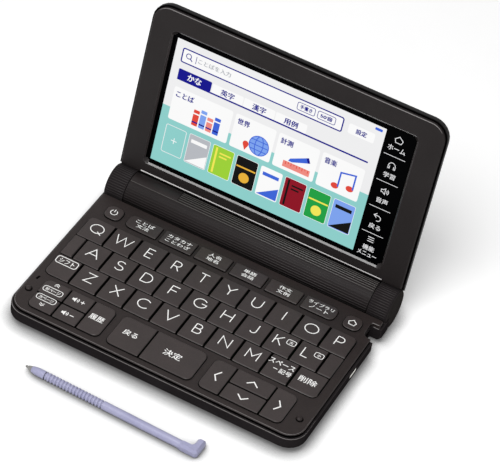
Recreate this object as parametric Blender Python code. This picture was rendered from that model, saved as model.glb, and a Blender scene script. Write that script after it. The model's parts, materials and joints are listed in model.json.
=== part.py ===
"""Pocket electronic dictionary: a hinged clamshell with a keyboard, a touch display and a loose pen."""

from math import cos, degrees, pi, radians, sin, sqrt

import bpy

MM = 0.001

# Clearances that neighbouring pieces share
gap = 0.3 * MM
overrun = 2.0 * MM

# Keyboard deck, seen from above: X to the right, Y from its front edge towards the hinge
deck_width = 145.8 * MM
deck_depth = 85.3 * MM
deck_thickness = 1.6 * MM
deck_chamfer = 0.3 * MM
deck_corner = 8.0 * MM
deck_back_corner = 1.0 * MM
keyboard_shift = -0.45 * MM
pocket_depth = 1.1 * MM

# Keys: the margins and gaps set where they lie, and what is left sets how large they are
key_height = 0.8 * MM
key_travel = 0.8 * MM
key_gap = 0.76 * MM
row_gap = 0.66 * MM
key_chamfer = 0.3 * MM
letter_slope = 0.8 * MM
letter_slope_drop = 0.5 * MM
letter_overhang = 0.5 * MM
key_corner = 0.5 * MM
group_corner = 2.8 * MM
flange_thickness = 0.6 * MM
flange_reach = 0.42 * MM
letter_margin = 3.98 * MM
front_margin = 3.6 * MM
cluster_depth = 18.7 * MM
cluster_gap = 3.02 * MM
function_row_gap = 3.5 * MM
function_depth = 8.3 * MM
function_gap = 1.65 * MM
function_margin = 18.95 * MM
rear_margin = 5.4 * MM
round_key_width = 8.3 * MM
round_key_margin = 7.0 * MM
second_row_shift = 6.55 * MM
third_row_shift = -0.7 * MM
cluster_left_margin = 8.15 * MM
cluster_right_margin = 10.25 * MM
cluster_spacing = 3.75 * MM
thumb_key_shares = {"page": 0.1055, "volume": 0.1010, "history": 0.0925}
confirm_key_shares = {"back": 0.1425, "enter": 0.2180}
arrow_key_shares = {"left": 0.0895, "middle": 0.1625, "right": 0.0885}

# Bottom case
base_height = 8.4 * MM
case_rim = 1.1 * MM
case_wall = 1.2 * MM
case_floor = 1.0 * MM
case_corner = 9.0 * MM
case_edge = 1.3 * MM
groove_height = 0.3 * MM
boss_radius = 1.6 * MM
boss_bore = 0.7 * MM
boss_inset = 1.4 * MM
boss_front = 10.0 * MM
boss_rear = 68.5 * MM
post_radius = 1.5 * MM
port_width = 8.0 * MM
port_height = 2.9 * MM
port_level = 3.0 * MM
port_place = 54.0 * MM

# Hinge barrel along the rear edge; its axis lies a little under the deck's surface
barrel_radius = 9.64 * MM
barrel_wall = 2.04 * MM
barrel_gap = 0.67 * MM
barrel_end_radius = 0.5 * MM
axis_drop = 1.0 * MM
knuckle_width = 9.75 * MM
knuckle_overhang = 0.5 * MM
knuckle_block = 7.6 * MM
barrel_end_wall = 10.4 * MM
pin_radius = 2.5 * MM
pin_length = 11.0 * MM
cable_bore = 1.2 * MM
table_clearance = 0.2 * MM

# Cells and their door
cell_clearance = 0.35 * MM
cell_nub_radius = 2.6 * MM
cell_nub_length = 1.3 * MM
contact_room = 2.45 * MM
door_margin = 0.2 * MM
door_thickness = 1.7 * MM
door_upper_angle = radians(32.0)
door_lower_angle = radians(-70.0)

# Lid, drawn closed over the deck and then turned back about the barrel's axis
lid_angle = radians(102.5)
closed_gap = 0.43 * MM
bezel_thickness = 1.3 * MM
bezel_overhang = 0.25 * MM
bezel_side = 0.1 * MM
bezel_corner = 8.0 * MM
bezel_chamfer = 0.3 * MM
window_side = 12.2 * MM
window_near = 6.75 * MM
window_far = 10.95 * MM
window_bevel = 1.4 * MM
window_corner = 0.8 * MM
cover_rim = 1.0 * MM
cover_depth = 4.2 * MM
cover_wall = 1.2 * MM
cover_corner = 9.0 * MM
cover_round = 2.2 * MM
display_margin = 1.5 * MM
display_thickness = 1.5 * MM
lug_thickness = 2.0 * MM
lug_inset = 5.0 * MM

# Feet: a rubber strip near the front edge and two pads moulded on the case near the hinge
foot_width = 6.0 * MM
foot_length = 96.0 * MM
foot_recess = 0.6 * MM
foot_inset = 7.0 * MM
foot_edge = 0.5 * MM
foot_corner = 2.4 * MM
pad_radius = 4.0 * MM
pad_side_inset = 14.0 * MM
pad_rear_inset = 9.5 * MM

# Circuit board and the rubber sheet with one dome under each key
board_thickness = 0.8 * MM
board_level = 2.4 * MM
board_margin = 6.4 * MM
board_front = 4.5 * MM
dome_sheet = 0.4 * MM
dome_height = 0.8 * MM
dome_radius = 1.6 * MM
dome_top_share = 0.7

# Pen and the place in the base where it is kept
pen_radius = 1.9 * MM
pen_length = 88.0 * MM
pen_cone = 3.6 * MM
pen_point = 0.5 * MM
pen_collar = 0.35 * MM
pen_grip_start = 10.5 * MM
pen_head_length = 9.4 * MM
pen_arm = 9.2 * MM
pen_arm_width = 4.0 * MM
pen_head_height = 4.4 * MM
pen_head_corner = 0.9 * MM
pen_table_gap = 0.05 * MM
pen_ahead = 20.9 * MM
pen_start = 49.9 * MM
pen_turn = radians(-1.5)
channel_clearance = 0.35 * MM
channel_rib = 0.7 * MM
notch_width = 9.0 * MM
notch_depth = 5.1 * MM
notch_corner = 3.0 * MM
notch_rear_corner = 1.0 * MM
notch_wall = 1.0 * MM

# Counts
corner_steps = 6
key_corner_steps = 4
round_sides = 48
small_sides = 16
dome_sides = 6
cell_sides = 24
sharp_angle = radians(32.0)

# Heights above the underside of the case
deck_bottom = base_height - deck_thickness
rim_top = deck_bottom - groove_height
key_top = base_height + key_height
flange_top = deck_bottom - gap
flange_bottom = flange_top - flange_thickness
pocket_floor = base_height - pocket_depth
cap_bottom = pocket_floor + key_travel + gap
axis_height = base_height - axis_drop
foot_height = barrel_radius - axis_height + table_clearance
table_level = -foot_height

# Places along the depth of the deck
axis_y = deck_depth + barrel_gap + barrel_radius
cluster_front = front_margin
cluster_back = cluster_front + cluster_depth
letters_front = cluster_back + cluster_gap
function_back = deck_depth - rear_margin
function_front = function_back - function_depth
letters_back = function_front - function_row_gap
letter_depth = (letters_back - letters_front - 2 * row_gap) / 3
row_pitch = letter_depth + row_gap
case_width = deck_width + 2 * case_rim
case_front = -case_rim
underside_centre = (case_front + deck_depth) / 2

# Places across the deck
letters_left = -deck_width / 2 + letter_margin + keyboard_shift
letters_right = deck_width / 2 - letter_margin + keyboard_shift
key_pitch = (letters_right - letters_left + key_gap) / 10

# Lid, in a frame whose origin lies on the hinge's axis
bezel_face = axis_drop + key_height + closed_gap
bezel_reach = axis_y + bezel_overhang
bezel_near = sqrt((barrel_radius + gap) ** 2 - bezel_face ** 2) + gap / 4
bezel_back = bezel_face + bezel_thickness
cover_front = bezel_back + gap
cover_back = cover_front + cover_depth
barrel_half = deck_width / 2 + knuckle_overhang
knuckle_inner = barrel_half - knuckle_width
middle_half = knuckle_inner - gap

# The cells fill the space between the barrel's end walls but for the contacts, and the door covers them
barrel_bore = barrel_radius - barrel_wall
cell_radius = barrel_bore - cell_clearance
cell_space = middle_half - barrel_end_wall
cell_pitch = cell_space - contact_room
cell_length = cell_pitch - cell_nub_length
door_length = 2 * (cell_pitch + door_margin)

# The pen's channel runs beside the notch in the right side of the base
notch_back = function_back + gap * 4
notch_front = notch_back - notch_width
notch_left = case_width / 2 - notch_depth
channel_width = 2 * (pen_radius + channel_clearance)
channel_back = notch_back - notch_wall / 2
channel_front = channel_back - channel_width
channel_top = flange_bottom - key_travel
channel_end = notch_left - (pen_length - pen_arm_width)
rib_top = channel_top - gap


def arc(cx, cy, radius, start, end, steps):
    """Points on an arc, both ends included, in radians."""
    return [(cx + radius * cos(start + (end - start) * i / steps),
             cy + radius * sin(start + (end - start) * i / steps)) for i in range(steps + 1)]


def rounded(x0, x1, y0, y1, corners, steps=corner_steps):
    """Anticlockwise rectangle; corners are the radii front left, front right, back right, back left."""
    centres = ((x0, y0, 1, 1, pi), (x1, y0, -1, 1, 1.5 * pi),
               (x1, y1, -1, -1, 0), (x0, y1, 1, -1, 0.5 * pi))
    points = []
    for (x, y, sx, sy, start), radius in zip(centres, corners):
        points += arc(x + sx * radius, y + sy * radius, radius, start, start + pi / 2, steps)
    return points


def circle(cx, cy, radius, sides=round_sides):
    return [(cx + radius * cos(2 * pi * i / sides), cy + radius * sin(2 * pi * i / sides))
            for i in range(sides)]


def loft(name, rings, plane="XY"):
    """A closed solid through rings of equal count, each ring an outline and its level."""
    place = {"XY": lambda u, v, w: (u, v, w), "YZ": lambda u, v, w: (w, u, v)}[plane]
    verts = [place(u, v, level) for outline, level in rings for u, v in outline]
    count = len(rings[0][0])
    faces = [tuple(reversed(range(count))), tuple(range(len(verts) - count, len(verts)))]
    for ring in range(len(rings) - 1):
        low, high = ring * count, (ring + 1) * count
        for i in range(count):
            j = (i + 1) % count
            faces.append((low + i, low + j, high + j, high + i))
    mesh = bpy.data.meshes.new(name)
    mesh.from_pydata(verts, [], faces)
    mesh.validate()
    mesh.shade_smooth()
    mesh.set_sharp_from_angle(angle=sharp_angle)
    part = bpy.data.objects.new(name, mesh)
    bpy.context.scene.collection.objects.link(part)
    return part


def prism(name, outline, low, high, plane="XY"):
    return loft(name, [(outline, low), (outline, high)], plane)


def helper(part):
    """Marks a cutter or a shape that is joined to another, which is no piece of its own."""
    part.hide_render = True
    part.display_type = "WIRE"
    return part


def apply_boolean(target, tool, operation):
    step = target.modifiers.new(f"{operation} {tool.name}", "BOOLEAN")
    step.operation = operation
    step.object = helper(tool)
    step.solver = "EXACT"


def cut(target, tool):
    apply_boolean(target, tool, "DIFFERENCE")


def join(target, tool):
    apply_boolean(target, tool, "UNION")


def merged(name, parts):
    """One helper object from several separate solids."""
    verts, faces = [], []
    for part in parts:
        start = len(verts)
        verts += [tuple(v.co) for v in part.data.vertices]
        faces += [tuple(start + i for i in polygon.vertices) for polygon in part.data.polygons]
        bpy.data.objects.remove(part)
    mesh = bpy.data.meshes.new(name)
    mesh.from_pydata(verts, [], faces)
    mesh.shade_smooth()
    mesh.set_sharp_from_angle(angle=sharp_angle)
    whole = bpy.data.objects.new(name, mesh)
    bpy.context.scene.collection.objects.link(whole)
    return whole


def empty(name, location, parent=None, turn=(0, 0, 0)):
    frame = bpy.data.objects.new(name, None)
    frame.location = location
    frame.rotation_euler = turn
    frame.parent = parent
    bpy.context.scene.collection.objects.link(frame)
    return frame


def make_material(name, colour, roughness, metallic=0.0):
    material = bpy.data.materials.new(name)
    material.use_nodes = True
    shader = material.node_tree.nodes["Principled BSDF"]
    shader.inputs["Base Color"].default_value = (*colour, 1.0)
    shader.inputs["Roughness"].default_value = roughness
    shader.inputs["Metallic"].default_value = metallic
    material.diffuse_color = (*colour, 1.0)
    return material


def finish(part, material, parent):
    """Gives a piece its material and hangs it, with the shapes that cut or join it, in its frame."""
    part.data.materials.append(material)
    part.parent = parent
    for step in part.modifiers:
        step.object.parent = parent
    return part


# Keyboard layout

def letter_rows():
    """Key rectangles of the three letter rows: name to (left, right, front, back)."""
    rows = {}
    shifts = (0.0, second_row_shift, third_row_shift)
    names = (
        ("q", "w", "e", "r", "t", "y", "u", "i", "o", "p"),
        ("a", "s", "d", "f", "g", "h", "j", "k", "l"),
        ("shift", "z", "x", "c", "v", "b", "n", "m", "space", "delete"),
    )
    for row, (shift, row_names) in enumerate(zip(shifts, names)):
        back = letters_back - row * row_pitch
        for column, name in enumerate(row_names):
            left = letters_left + shift + column * key_pitch
            right = left + key_pitch - key_gap
            if name == "delete":
                right = letters_right
            rows[name] = (max(left, letters_left), right, back - letter_depth, back)
    return rows


def cluster_keys():
    """Key rectangles of the three groups in front of the letters."""
    shares = [*thumb_key_shares.values(), *confirm_key_shares.values(), *arrow_key_shares.values()]
    span = deck_width - cluster_left_margin - cluster_right_margin
    free = span - 2 * cluster_spacing - (len(shares) - 3) * key_gap
    unit = free / sum(shares)
    middle = (cluster_front + cluster_back) / 2
    keys = {}
    left = -deck_width / 2 + cluster_left_margin + keyboard_shift
    split = {"page": ("page_up", "page_down"), "volume": ("volume_up", "volume_down"),
             "middle": ("up", "down")}
    for group in (thumb_key_shares, confirm_key_shares, arrow_key_shares):
        for name, share in group.items():
            right = left + share * unit
            if name in split:
                upper, lower = split[name]
                keys[upper] = (left, right, middle + key_gap / 2, cluster_back)
                keys[lower] = (left, right, cluster_front, middle - key_gap / 2)
            else:
                keys[name] = (left, right, cluster_front, cluster_back)
            left = right + key_gap
        left += cluster_spacing - key_gap
    return keys


def function_keys():
    """The row along the hinge: six wide keys between the power key and the home key."""
    left = -deck_width / 2 + function_margin + keyboard_shift
    right = deck_width / 2 - function_margin + keyboard_shift
    width = (right - left - 5 * function_gap) / 6
    keys = {}
    for i in range(6):
        start = left + i * (width + function_gap)
        keys[f"function_{i + 1}"] = (start, start + width, function_front, function_back)
    edge = deck_width / 2 - round_key_margin
    keys["power"] = (-edge, -edge + round_key_width, function_front, function_back)
    keys["home"] = (edge - round_key_width, edge, function_front, function_back)
    return keys


rounded_corners = {
    "q": (0, 0, 0, 1), "p": (0, 0, 1, 0), "shift": (1, 0, 0, 0), "delete": (0, 1, 0, 0),
    "page_up": (0, 0, 0, 1), "page_down": (1, 0, 0, 0), "history": (0, 1, 1, 0),
    "back": (1, 0, 0, 1), "enter": (0, 1, 1, 0), "left": (1, 0, 0, 1), "right": (0, 1, 1, 0),
    "function_1": (1, 0, 0, 1), "function_6": (0, 1, 1, 0), "power": (1, 1, 1, 1), "home": (1, 1, 1, 1),
}
inner_front = ("page_up", "volume_up", "up")
inner_back = ("page_down", "volume_down", "down")


def key_corners(name):
    return [group_corner if mark else key_corner for mark in rounded_corners.get(name, (0, 0, 0, 0))]


def cap_rings(left, right, front, back, corners, slope, drop):
    """Upper end of a key: upright sides up to the slope, and the top set in by the slope in front."""
    body = rounded(left, right, front, back, corners, key_corner_steps)
    top = rounded(left + key_chamfer, right - key_chamfer, front + slope, back - key_chamfer,
                  [radius - key_chamfer / 2 for radius in corners], key_corner_steps)
    return body, [(body, key_top - drop), (top, key_top)]


def build_key(name, box, frame, material):
    """A cap that rises through the deck, with a flange at its front and back that stays under it."""
    left, right, front, back = box
    cx, cy = (left + right) / 2, (front + back) / 2
    x, y = (right - left) / 2, (back - front) / 2
    front_reach = 0.0 if name in inner_front else flange_reach
    back_reach = 0.0 if name in inner_back else flange_reach
    corners = key_corners(name)
    flange = rounded(-x, x, -y - front_reach, y + back_reach, corners, key_corner_steps)
    if name in letter_rows():
        stem_front = -y + letter_overhang
        flange = rounded(-x, x, stem_front - front_reach, y + back_reach, corners, key_corner_steps)
        stem = rounded(-x, x, stem_front, y, corners, key_corner_steps)
        body, cap = cap_rings(-x, x, -y, y, corners, letter_slope, letter_slope_drop)
        middle = [(stem, flange_top), (stem, cap_bottom), (body, cap_bottom)]
    else:
        body, cap = cap_rings(-x, x, -y, y, corners, key_chamfer, key_chamfer)
        middle = [(body, flange_top)]
    rings = [(flange, flange_bottom), (flange, flange_top)] + middle + cap
    key = loft(f"key_{name}", [(outline, level - flange_bottom) for outline, level in rings])
    key.location = (cx, cy, flange_bottom)
    return finish(key, material, frame)


def hole(name, boxes, corners, overhang=0.0):
    """Cutter through the deck around the stems of the keys in these boxes."""
    left = min(box[0] for box in boxes) - gap
    right = max(box[1] for box in boxes) + gap
    front = min(box[2] for box in boxes) + overhang - gap
    back = max(box[3] for box in boxes) + gap
    outline = rounded(left, right, front, back, [radius + gap for radius in corners], key_corner_steps)
    return prism(name, outline, deck_bottom - overrun, key_top + overrun)


def notch_outline(clearance):
    """The pen notch in the right side, seen from above, running out past the side."""
    return rounded(notch_left - clearance, case_width / 2 + overrun, notch_front - clearance,
                   notch_back + clearance, (notch_corner, gap, gap, notch_rear_corner))


def build_deck(keys, frame, material):
    """Top plate: key openings, the sunk pocket of the letter block and two blank pads beside row two."""
    half = deck_width / 2
    corners = (deck_corner, deck_corner, deck_back_corner, deck_back_corner)
    outline = rounded(-half, half, 0, deck_depth, corners)
    inset = rounded(-half + deck_chamfer, half - deck_chamfer, deck_chamfer, deck_depth - deck_chamfer,
                    corners)
    deck = loft("keyboard_deck", [(outline, deck_bottom), (outline, base_height - deck_chamfer),
                                  (inset, base_height)])
    pocket_corners = [group_corner + gap] * 4
    pocket = rounded(letters_left - gap, letters_right + gap, letters_front - gap, letters_back + gap,
                     pocket_corners, key_corner_steps)
    cut(deck, prism("letter_pocket", pocket, pocket_floor, base_height + overrun))
    rows = {"row_one": "qp", "row_two": "al", "row_three": ("shift", "delete")}
    openings = []
    for name, ends in rows.items():
        first, last = key_corners(ends[0]), key_corners(ends[1])
        row_corners = (first[0], last[1], last[2], first[3])
        openings.append(hole(name, [keys[end] for end in ends], row_corners, letter_overhang))
    groups = {
        "thumb_opening": ("page_up", "page_down", "history"),
        "confirm_opening": ("back", "enter"),
        "arrow_opening": ("left", "right"),
    }
    for name, members in groups.items():
        openings.append(hole(name, [keys[member] for member in members], [group_corner] * 4))
    for name in [f"function_{i + 1}" for i in range(6)] + ["power", "home"]:
        openings.append(hole(f"{name}_opening", [keys[name]], key_corners(name)))
    cut(deck, merged("key_openings", openings))
    pads = []
    second_front, second_back = keys["a"][2], keys["a"][3]
    for name, left, right in (("left_pad", letters_left, keys["a"][0] - key_gap),
                              ("right_pad", keys["l"][1] + key_gap, letters_right)):
        body, cap = cap_rings(left, right, second_front, second_back, [key_corner] * 4,
                              letter_slope, letter_slope_drop)
        pads.append(loft(name, [(body, pocket_floor - pocket_depth / 4)] + cap))
    join(deck, merged("blank_pads", pads))
    cut(deck, prism("deck_notch", notch_outline(gap), deck_bottom - overrun, key_top + overrun))
    return finish(deck, material, frame)


def case_outline(inset):
    half = case_width / 2 - inset
    corner = case_corner - inset
    rear = gap
    return rounded(-half, half, case_front + inset, deck_depth - inset, (corner, corner, rear, rear))


def knuckle(name, side):
    """End of the barrel that belongs to the base, with the block that carries it."""
    inner, outer = sorted((side * knuckle_inner, side * barrel_half))
    ends = {-1: (barrel_end_radius, 0), 1: (0, barrel_end_radius)}[side]
    small = barrel_radius - barrel_end_radius
    rings = []
    if ends[0]:
        rings += [(circle(axis_y, axis_height, small), inner),
                  (circle(axis_y, axis_height, barrel_radius), inner + ends[0])]
    else:
        rings += [(circle(axis_y, axis_height, barrel_radius), inner)]
    if ends[1]:
        rings += [(circle(axis_y, axis_height, barrel_radius), outer - ends[1]),
                  (circle(axis_y, axis_height, small), outer)]
    else:
        rings += [(circle(axis_y, axis_height, barrel_radius), outer)]
    return loft(name, rings, "YZ")


def knuckle_block_shape(name, side):
    """Rear corner of the case under the knuckle, rounded at its outer rear edge."""
    inner, outer = sorted((side * knuckle_inner, side * case_width / 2))
    back = deck_depth - case_wall + knuckle_block
    rounds = (gap, gap, case_edge * 2, gap) if side > 0 else (gap, gap, gap, case_edge * 2)
    outline = rounded(inner, outer, deck_depth - 2 * case_wall, back, rounds)
    return prism(name, outline, 0, rim_top)


def build_case(frame, material):
    """Tray of the base, with knuckles, bosses, board posts, pen channel and pen notch."""
    case = loft("bottom_case", [(case_outline(case_edge), 0), (case_outline(0), case_edge),
                                (case_outline(0), rim_top)])
    for side, word in ((-1, "left"), (1, "right")):
        join(case, knuckle_block_shape(f"{word}_knuckle_block", side))
        join(case, knuckle(f"{word}_knuckle", side))
    cut(case, prism("case_hollow", case_outline(case_wall), case_floor, rim_top + overrun))

    inside = []
    bosses = []
    boss_x = case_width / 2 - case_wall - boss_inset
    for x, y in ((-boss_x, boss_front), (boss_x, boss_front), (-boss_x, boss_rear), (boss_x, boss_rear)):
        inside.append(prism("boss", circle(x, y, boss_radius, small_sides), case_floor - gap / 2, rim_top))
        bosses.append(prism("boss_hole", circle(x, y, boss_bore, dome_sides),
                            case_floor, rim_top + overrun))
    post_x = deck_width / 2 - board_margin - 2 * post_radius
    for x in (-post_x, 0, post_x):
        for y in (board_front + 2 * post_radius, channel_front - 3 * post_radius):
            outline = circle(x, y, post_radius, small_sides)
            inside.append(prism("post", outline, case_floor / 2, board_level - gap))
    join(case, merged("bosses_and_posts", inside))
    cut(case, merged("boss_holes", bosses))

    rib_outlines = {
        "front_rib": (channel_end - channel_rib, notch_left, channel_front - channel_rib, channel_front),
        "back_rib": (channel_end - channel_rib, notch_left, channel_back, channel_back + channel_rib),
        "end_rib": (channel_end - channel_rib, channel_end, channel_front - channel_rib / 2,
                    channel_back + channel_rib / 2),
    }
    for name, edges in rib_outlines.items():
        join(case, prism(name, rounded(*edges, [channel_rib / 4] * 4, 1), case_floor / 2, rib_top))
    shell = rounded(notch_left - notch_wall, case_width / 2 - case_wall / 2, notch_front - notch_wall,
                    notch_back + notch_wall, (notch_corner + notch_wall, gap, gap, notch_rear_corner))
    join(case, prism("notch_shell", shell, case_floor / 2, rim_top))
    cut(case, prism("notch_space", notch_outline(0), -overrun, rim_top + overrun))
    channel = rounded(channel_end, notch_left + overrun, channel_front, channel_back, [gap / 2] * 4, 1)
    cut(case, prism("channel_space", channel, case_floor, channel_top))

    low, high = port_level - port_height / 2, port_level + port_height / 2
    port = rounded(port_place - port_width / 2, port_place + port_width / 2, low, high,
                   [port_height / 4] * 4, key_corner_steps)
    cut(case, prism("port_slot", port, case_width / 2 - 2 * case_wall, case_width / 2 + overrun, "YZ"))
    recess = foot_outline(gap)
    cut(case, prism("foot_recess", recess, -overrun, foot_recess))
    pad_x = deck_width / 2 - pad_side_inset
    pad_y = deck_depth - pad_rear_inset
    pads = [loft("pad", [(circle(x, pad_y, pad_radius - foot_edge, small_sides), table_level),
                         (circle(x, pad_y, pad_radius, small_sides), table_level + foot_edge),
                         (circle(x, pad_y, pad_radius, small_sides), case_floor / 2)])
            for x in (-pad_x, pad_x)]
    join(case, merged("rear_pads", pads))
    bores = [prism("pin_bore", circle(axis_y, axis_height, pin_radius + gap, small_sides),
                   low_x, high_x, "YZ") for low_x, high_x in knuckle_bores()]
    cut(case, merged("knuckle_bores", bores))
    return finish(case, material, frame)


def knuckle_bores():
    """Blind bores in the knuckles, from the seam outwards."""
    depth = pin_length / 2 + gap
    return ((knuckle_inner - overrun, knuckle_inner + depth),
            (-knuckle_inner - depth, overrun - knuckle_inner))


def foot_outline(clearance):
    half = foot_length / 2 + clearance
    return rounded(-half, half, foot_inset - clearance, foot_inset + foot_width + clearance,
                   [foot_corner] * 4)


def build_foot(frame, material):
    """Rubber strip let into the underside along the front edge."""
    foot = loft("front_foot", [(foot_outline(-foot_edge), table_level),
                               (foot_outline(0), table_level + foot_edge),
                               (foot_outline(0), foot_recess - gap)])
    return finish(foot, material, frame)


def build_board(keys, frame, material):
    """Circuit board with the rubber sheet bonded to it, one dome under each key."""
    half = deck_width / 2 - board_margin
    back = channel_front - channel_rib - 2 * gap
    outline = rounded(-half, half, board_front, back, [case_wall] * 4, 1)
    sheet_high = board_level + board_thickness + dome_sheet
    board = prism("circuit_board", outline, board_level, sheet_high)
    domes = []
    for name, (left, right, front, top) in keys.items():
        x = min(max((left + right) / 2, -half + 2 * dome_radius), half - 2 * dome_radius)
        y = min((front + top) / 2, back - 2 * dome_radius)
        foot = circle(x, y, dome_radius, dome_sides)
        domes.append(loft(f"dome_{name}", [(foot, sheet_high - dome_sheet / 2), (foot, sheet_high),
                                           (circle(x, y, dome_radius * dome_top_share, dome_sides),
                                            sheet_high + dome_height)]))
    join(board, merged("domes", domes))
    return finish(board, material, frame)


def build_pin(frame, material):
    """Steel friction pin of the right-hand knuckle; the left end turns on a journal of the barrel."""
    centre = knuckle_inner - gap / 2
    pin = prism("hinge_pin", circle(axis_y, axis_height, pin_radius, small_sides),
                centre - pin_length / 2, centre + pin_length / 2, "YZ")
    return finish(pin, material, frame)


# Lid: drawn closed, origin on the hinge's axis, its far edge towards -Y, its back towards +Z

def sector(inner, outer, low, high):
    """Part of a ring in the Y-Z plane; angles are measured from +Z towards -Y."""
    steps = round_sides * int(degrees(high - low)) // 360
    turns = [low + (high - low) * i / steps for i in range(steps + 1)]
    far = [(-outer * sin(a), outer * cos(a)) for a in turns]
    near = [(-inner * sin(a), inner * cos(a)) for a in reversed(turns)]
    return far + near


def build_barrel(frame, material):
    """Middle of the barrel, with the cell space, the pin bores and the lug that holds the lid."""
    barrel = prism("hinge_barrel", circle(0, 0, barrel_radius), -middle_half, middle_half, "YZ")
    half = middle_half - gap
    lug = rounded(-half, half, -lug_reach(), -lug_inset, [gap] * 4, 1)
    join(barrel, prism("lid_lug", lug, cover_front, cover_front + lug_thickness))
    journal_end = -middle_half - pin_length / 2
    join(barrel, prism("journal", circle(0, 0, pin_radius, small_sides),
                       journal_end, -middle_half + overrun, "YZ"))
    cut(barrel, prism("cell_space", circle(0, 0, barrel_bore), -cell_space, cell_space, "YZ"))
    cut(barrel, prism("cable_bore", circle(0, 0, cable_bore, small_sides),
                      journal_end - overrun, -cell_space + overrun, "YZ"))
    cut(barrel, prism("barrel_pin_bore", circle(0, 0, pin_radius + gap, small_sides),
                      cell_space - overrun, middle_half + overrun, "YZ"))
    far = sector(barrel_radius, 2 * barrel_radius, door_lower_angle, door_upper_angle)
    wedge = [(0.0, 0.0)] + far[:len(far) // 2]
    cut(barrel, prism("door_opening", wedge, -door_length / 2 - gap, door_length / 2 + gap, "YZ"))
    return finish(barrel, material, frame)


def lug_reach():
    return bezel_near + window_near - display_margin - gap


def build_door(frame, material):
    side = gap / barrel_radius
    outline = sector(barrel_radius - door_thickness, barrel_radius,
                     door_lower_angle + side, door_upper_angle - side)
    return finish(prism("battery_door", outline, -door_length / 2, door_length / 2, "YZ"), material, frame)


def build_cells(frame, material):
    """Two cells end to end, both pointing right, so that the nub of one touches the other."""
    rings = []
    for low in (-cell_pitch, 0.0):
        high = low + cell_length
        rings += [(circle(0, 0, cell_radius - gap, cell_sides), low),
                  (circle(0, 0, cell_radius, cell_sides), low + gap),
                  (circle(0, 0, cell_radius, cell_sides), high - gap),
                  (circle(0, 0, cell_radius - gap, cell_sides), high),
                  (circle(0, 0, cell_nub_radius, cell_sides), high),
                  (circle(0, 0, cell_nub_radius, cell_sides), high + cell_nub_length)]
    return finish(loft("batteries", rings, "YZ"), material, frame)


def bezel_outline(inset):
    half = deck_width / 2 + bezel_side - inset
    corner = bezel_corner - inset
    return rounded(-half, half, -bezel_reach + inset, -bezel_near, (corner, corner, gap, gap))


def window_outline(inset):
    half = deck_width / 2 - window_side - inset
    corners = [max(window_corner - inset, gap)] * 4
    return rounded(keyboard_shift - half, keyboard_shift + half, -bezel_reach + window_far + inset,
                   -bezel_near - window_near - inset, corners, key_corner_steps)


def build_bezel(frame, material):
    bezel = loft("lid_bezel", [(bezel_outline(bezel_chamfer), bezel_face),
                               (bezel_outline(0), bezel_face + bezel_chamfer),
                               (bezel_outline(0), bezel_back)])
    slope = window_bevel / bezel_thickness
    near_outline = window_outline(-window_bevel - overrun * slope)
    cutter = loft("window_opening", [(near_outline, bezel_face - overrun),
                                     (window_outline(overrun * slope), bezel_back + overrun)])
    cut(bezel, cutter)
    return finish(bezel, material, frame)


def cover_outline(inset):
    """The near edge reaches down over the barrel, so the inset leaves it in place."""
    half = deck_width / 2 + cover_rim + bezel_side - inset
    corner = cover_corner - inset
    near = sqrt((barrel_radius + gap) ** 2 - cover_back ** 2)
    return rounded(-half, half, -bezel_reach - cover_rim + inset, -near, (corner, corner, gap, gap))


def build_cover(frame, material):
    """Back shell of the lid; its near edge follows the barrel and is notched for the lug."""
    crown = cover_back - cover_round
    steps = ((0.0, cover_front), (0.0, crown)) + tuple(
        (cover_round * (1 - cos(a)), crown + cover_round * sin(a)) for a in (pi / 6, pi / 3, pi / 2))
    cover = loft("lid_back_cover", [(cover_outline(inset), level) for inset, level in steps])
    half = deck_width / 2 + cover_rim + bezel_side - cover_wall
    hollow = rounded(-half, half, -bezel_reach - cover_rim + cover_wall, -bezel_near - cover_wall,
                     [cover_corner - cover_wall] * 2 + [gap] * 2)
    cut(cover, prism("cover_hollow", hollow, cover_front - overrun, cover_back - cover_wall))
    cut(cover, prism("cover_barrel_room", circle(0, 0, barrel_radius + gap), -case_width, case_width, "YZ"))
    lug_room = rounded(-middle_half, middle_half, -bezel_near - cover_wall - overrun, 0, [gap] * 4, 1)
    cut(cover, prism("cover_lug_room", lug_room, cover_front - overrun, cover_front + lug_thickness + gap))
    return finish(cover, material, frame)


def build_display(frame, material):
    outline = window_outline(-display_margin)
    low = cover_front
    return finish(prism("display_panel", outline, low, low + display_thickness), material, frame)


# Pen: drawn along +X from its point, then laid on the table in front of the base

def build_pen(frame, material):
    rise = pen_head_height / 2
    body_end = pen_length - pen_head_length
    profile = ((pen_point, 0.0), (pen_radius - pen_collar, pen_cone), (pen_radius, pen_cone + pen_collar),
               (pen_radius, pen_grip_start), (pen_radius, body_end + pen_head_length / 2))
    pen = loft("stylus", [(circle(0, rise, radius, small_sides), x) for radius, x in profile], "YZ")
    half = pen_arm_width / 2
    corner = [pen_head_corner] * 4
    base = rounded(body_end, pen_length, -half, half, corner, key_corner_steps)
    arm = rounded(pen_length - pen_arm_width, pen_length, -half, pen_arm - half, corner, key_corner_steps)
    join(pen, prism("pen_head", base, 0, pen_head_height))
    join(pen, prism("pen_arm", arm, gap / 4, pen_head_height - gap / 4))
    return finish(pen, material, frame)


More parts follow.
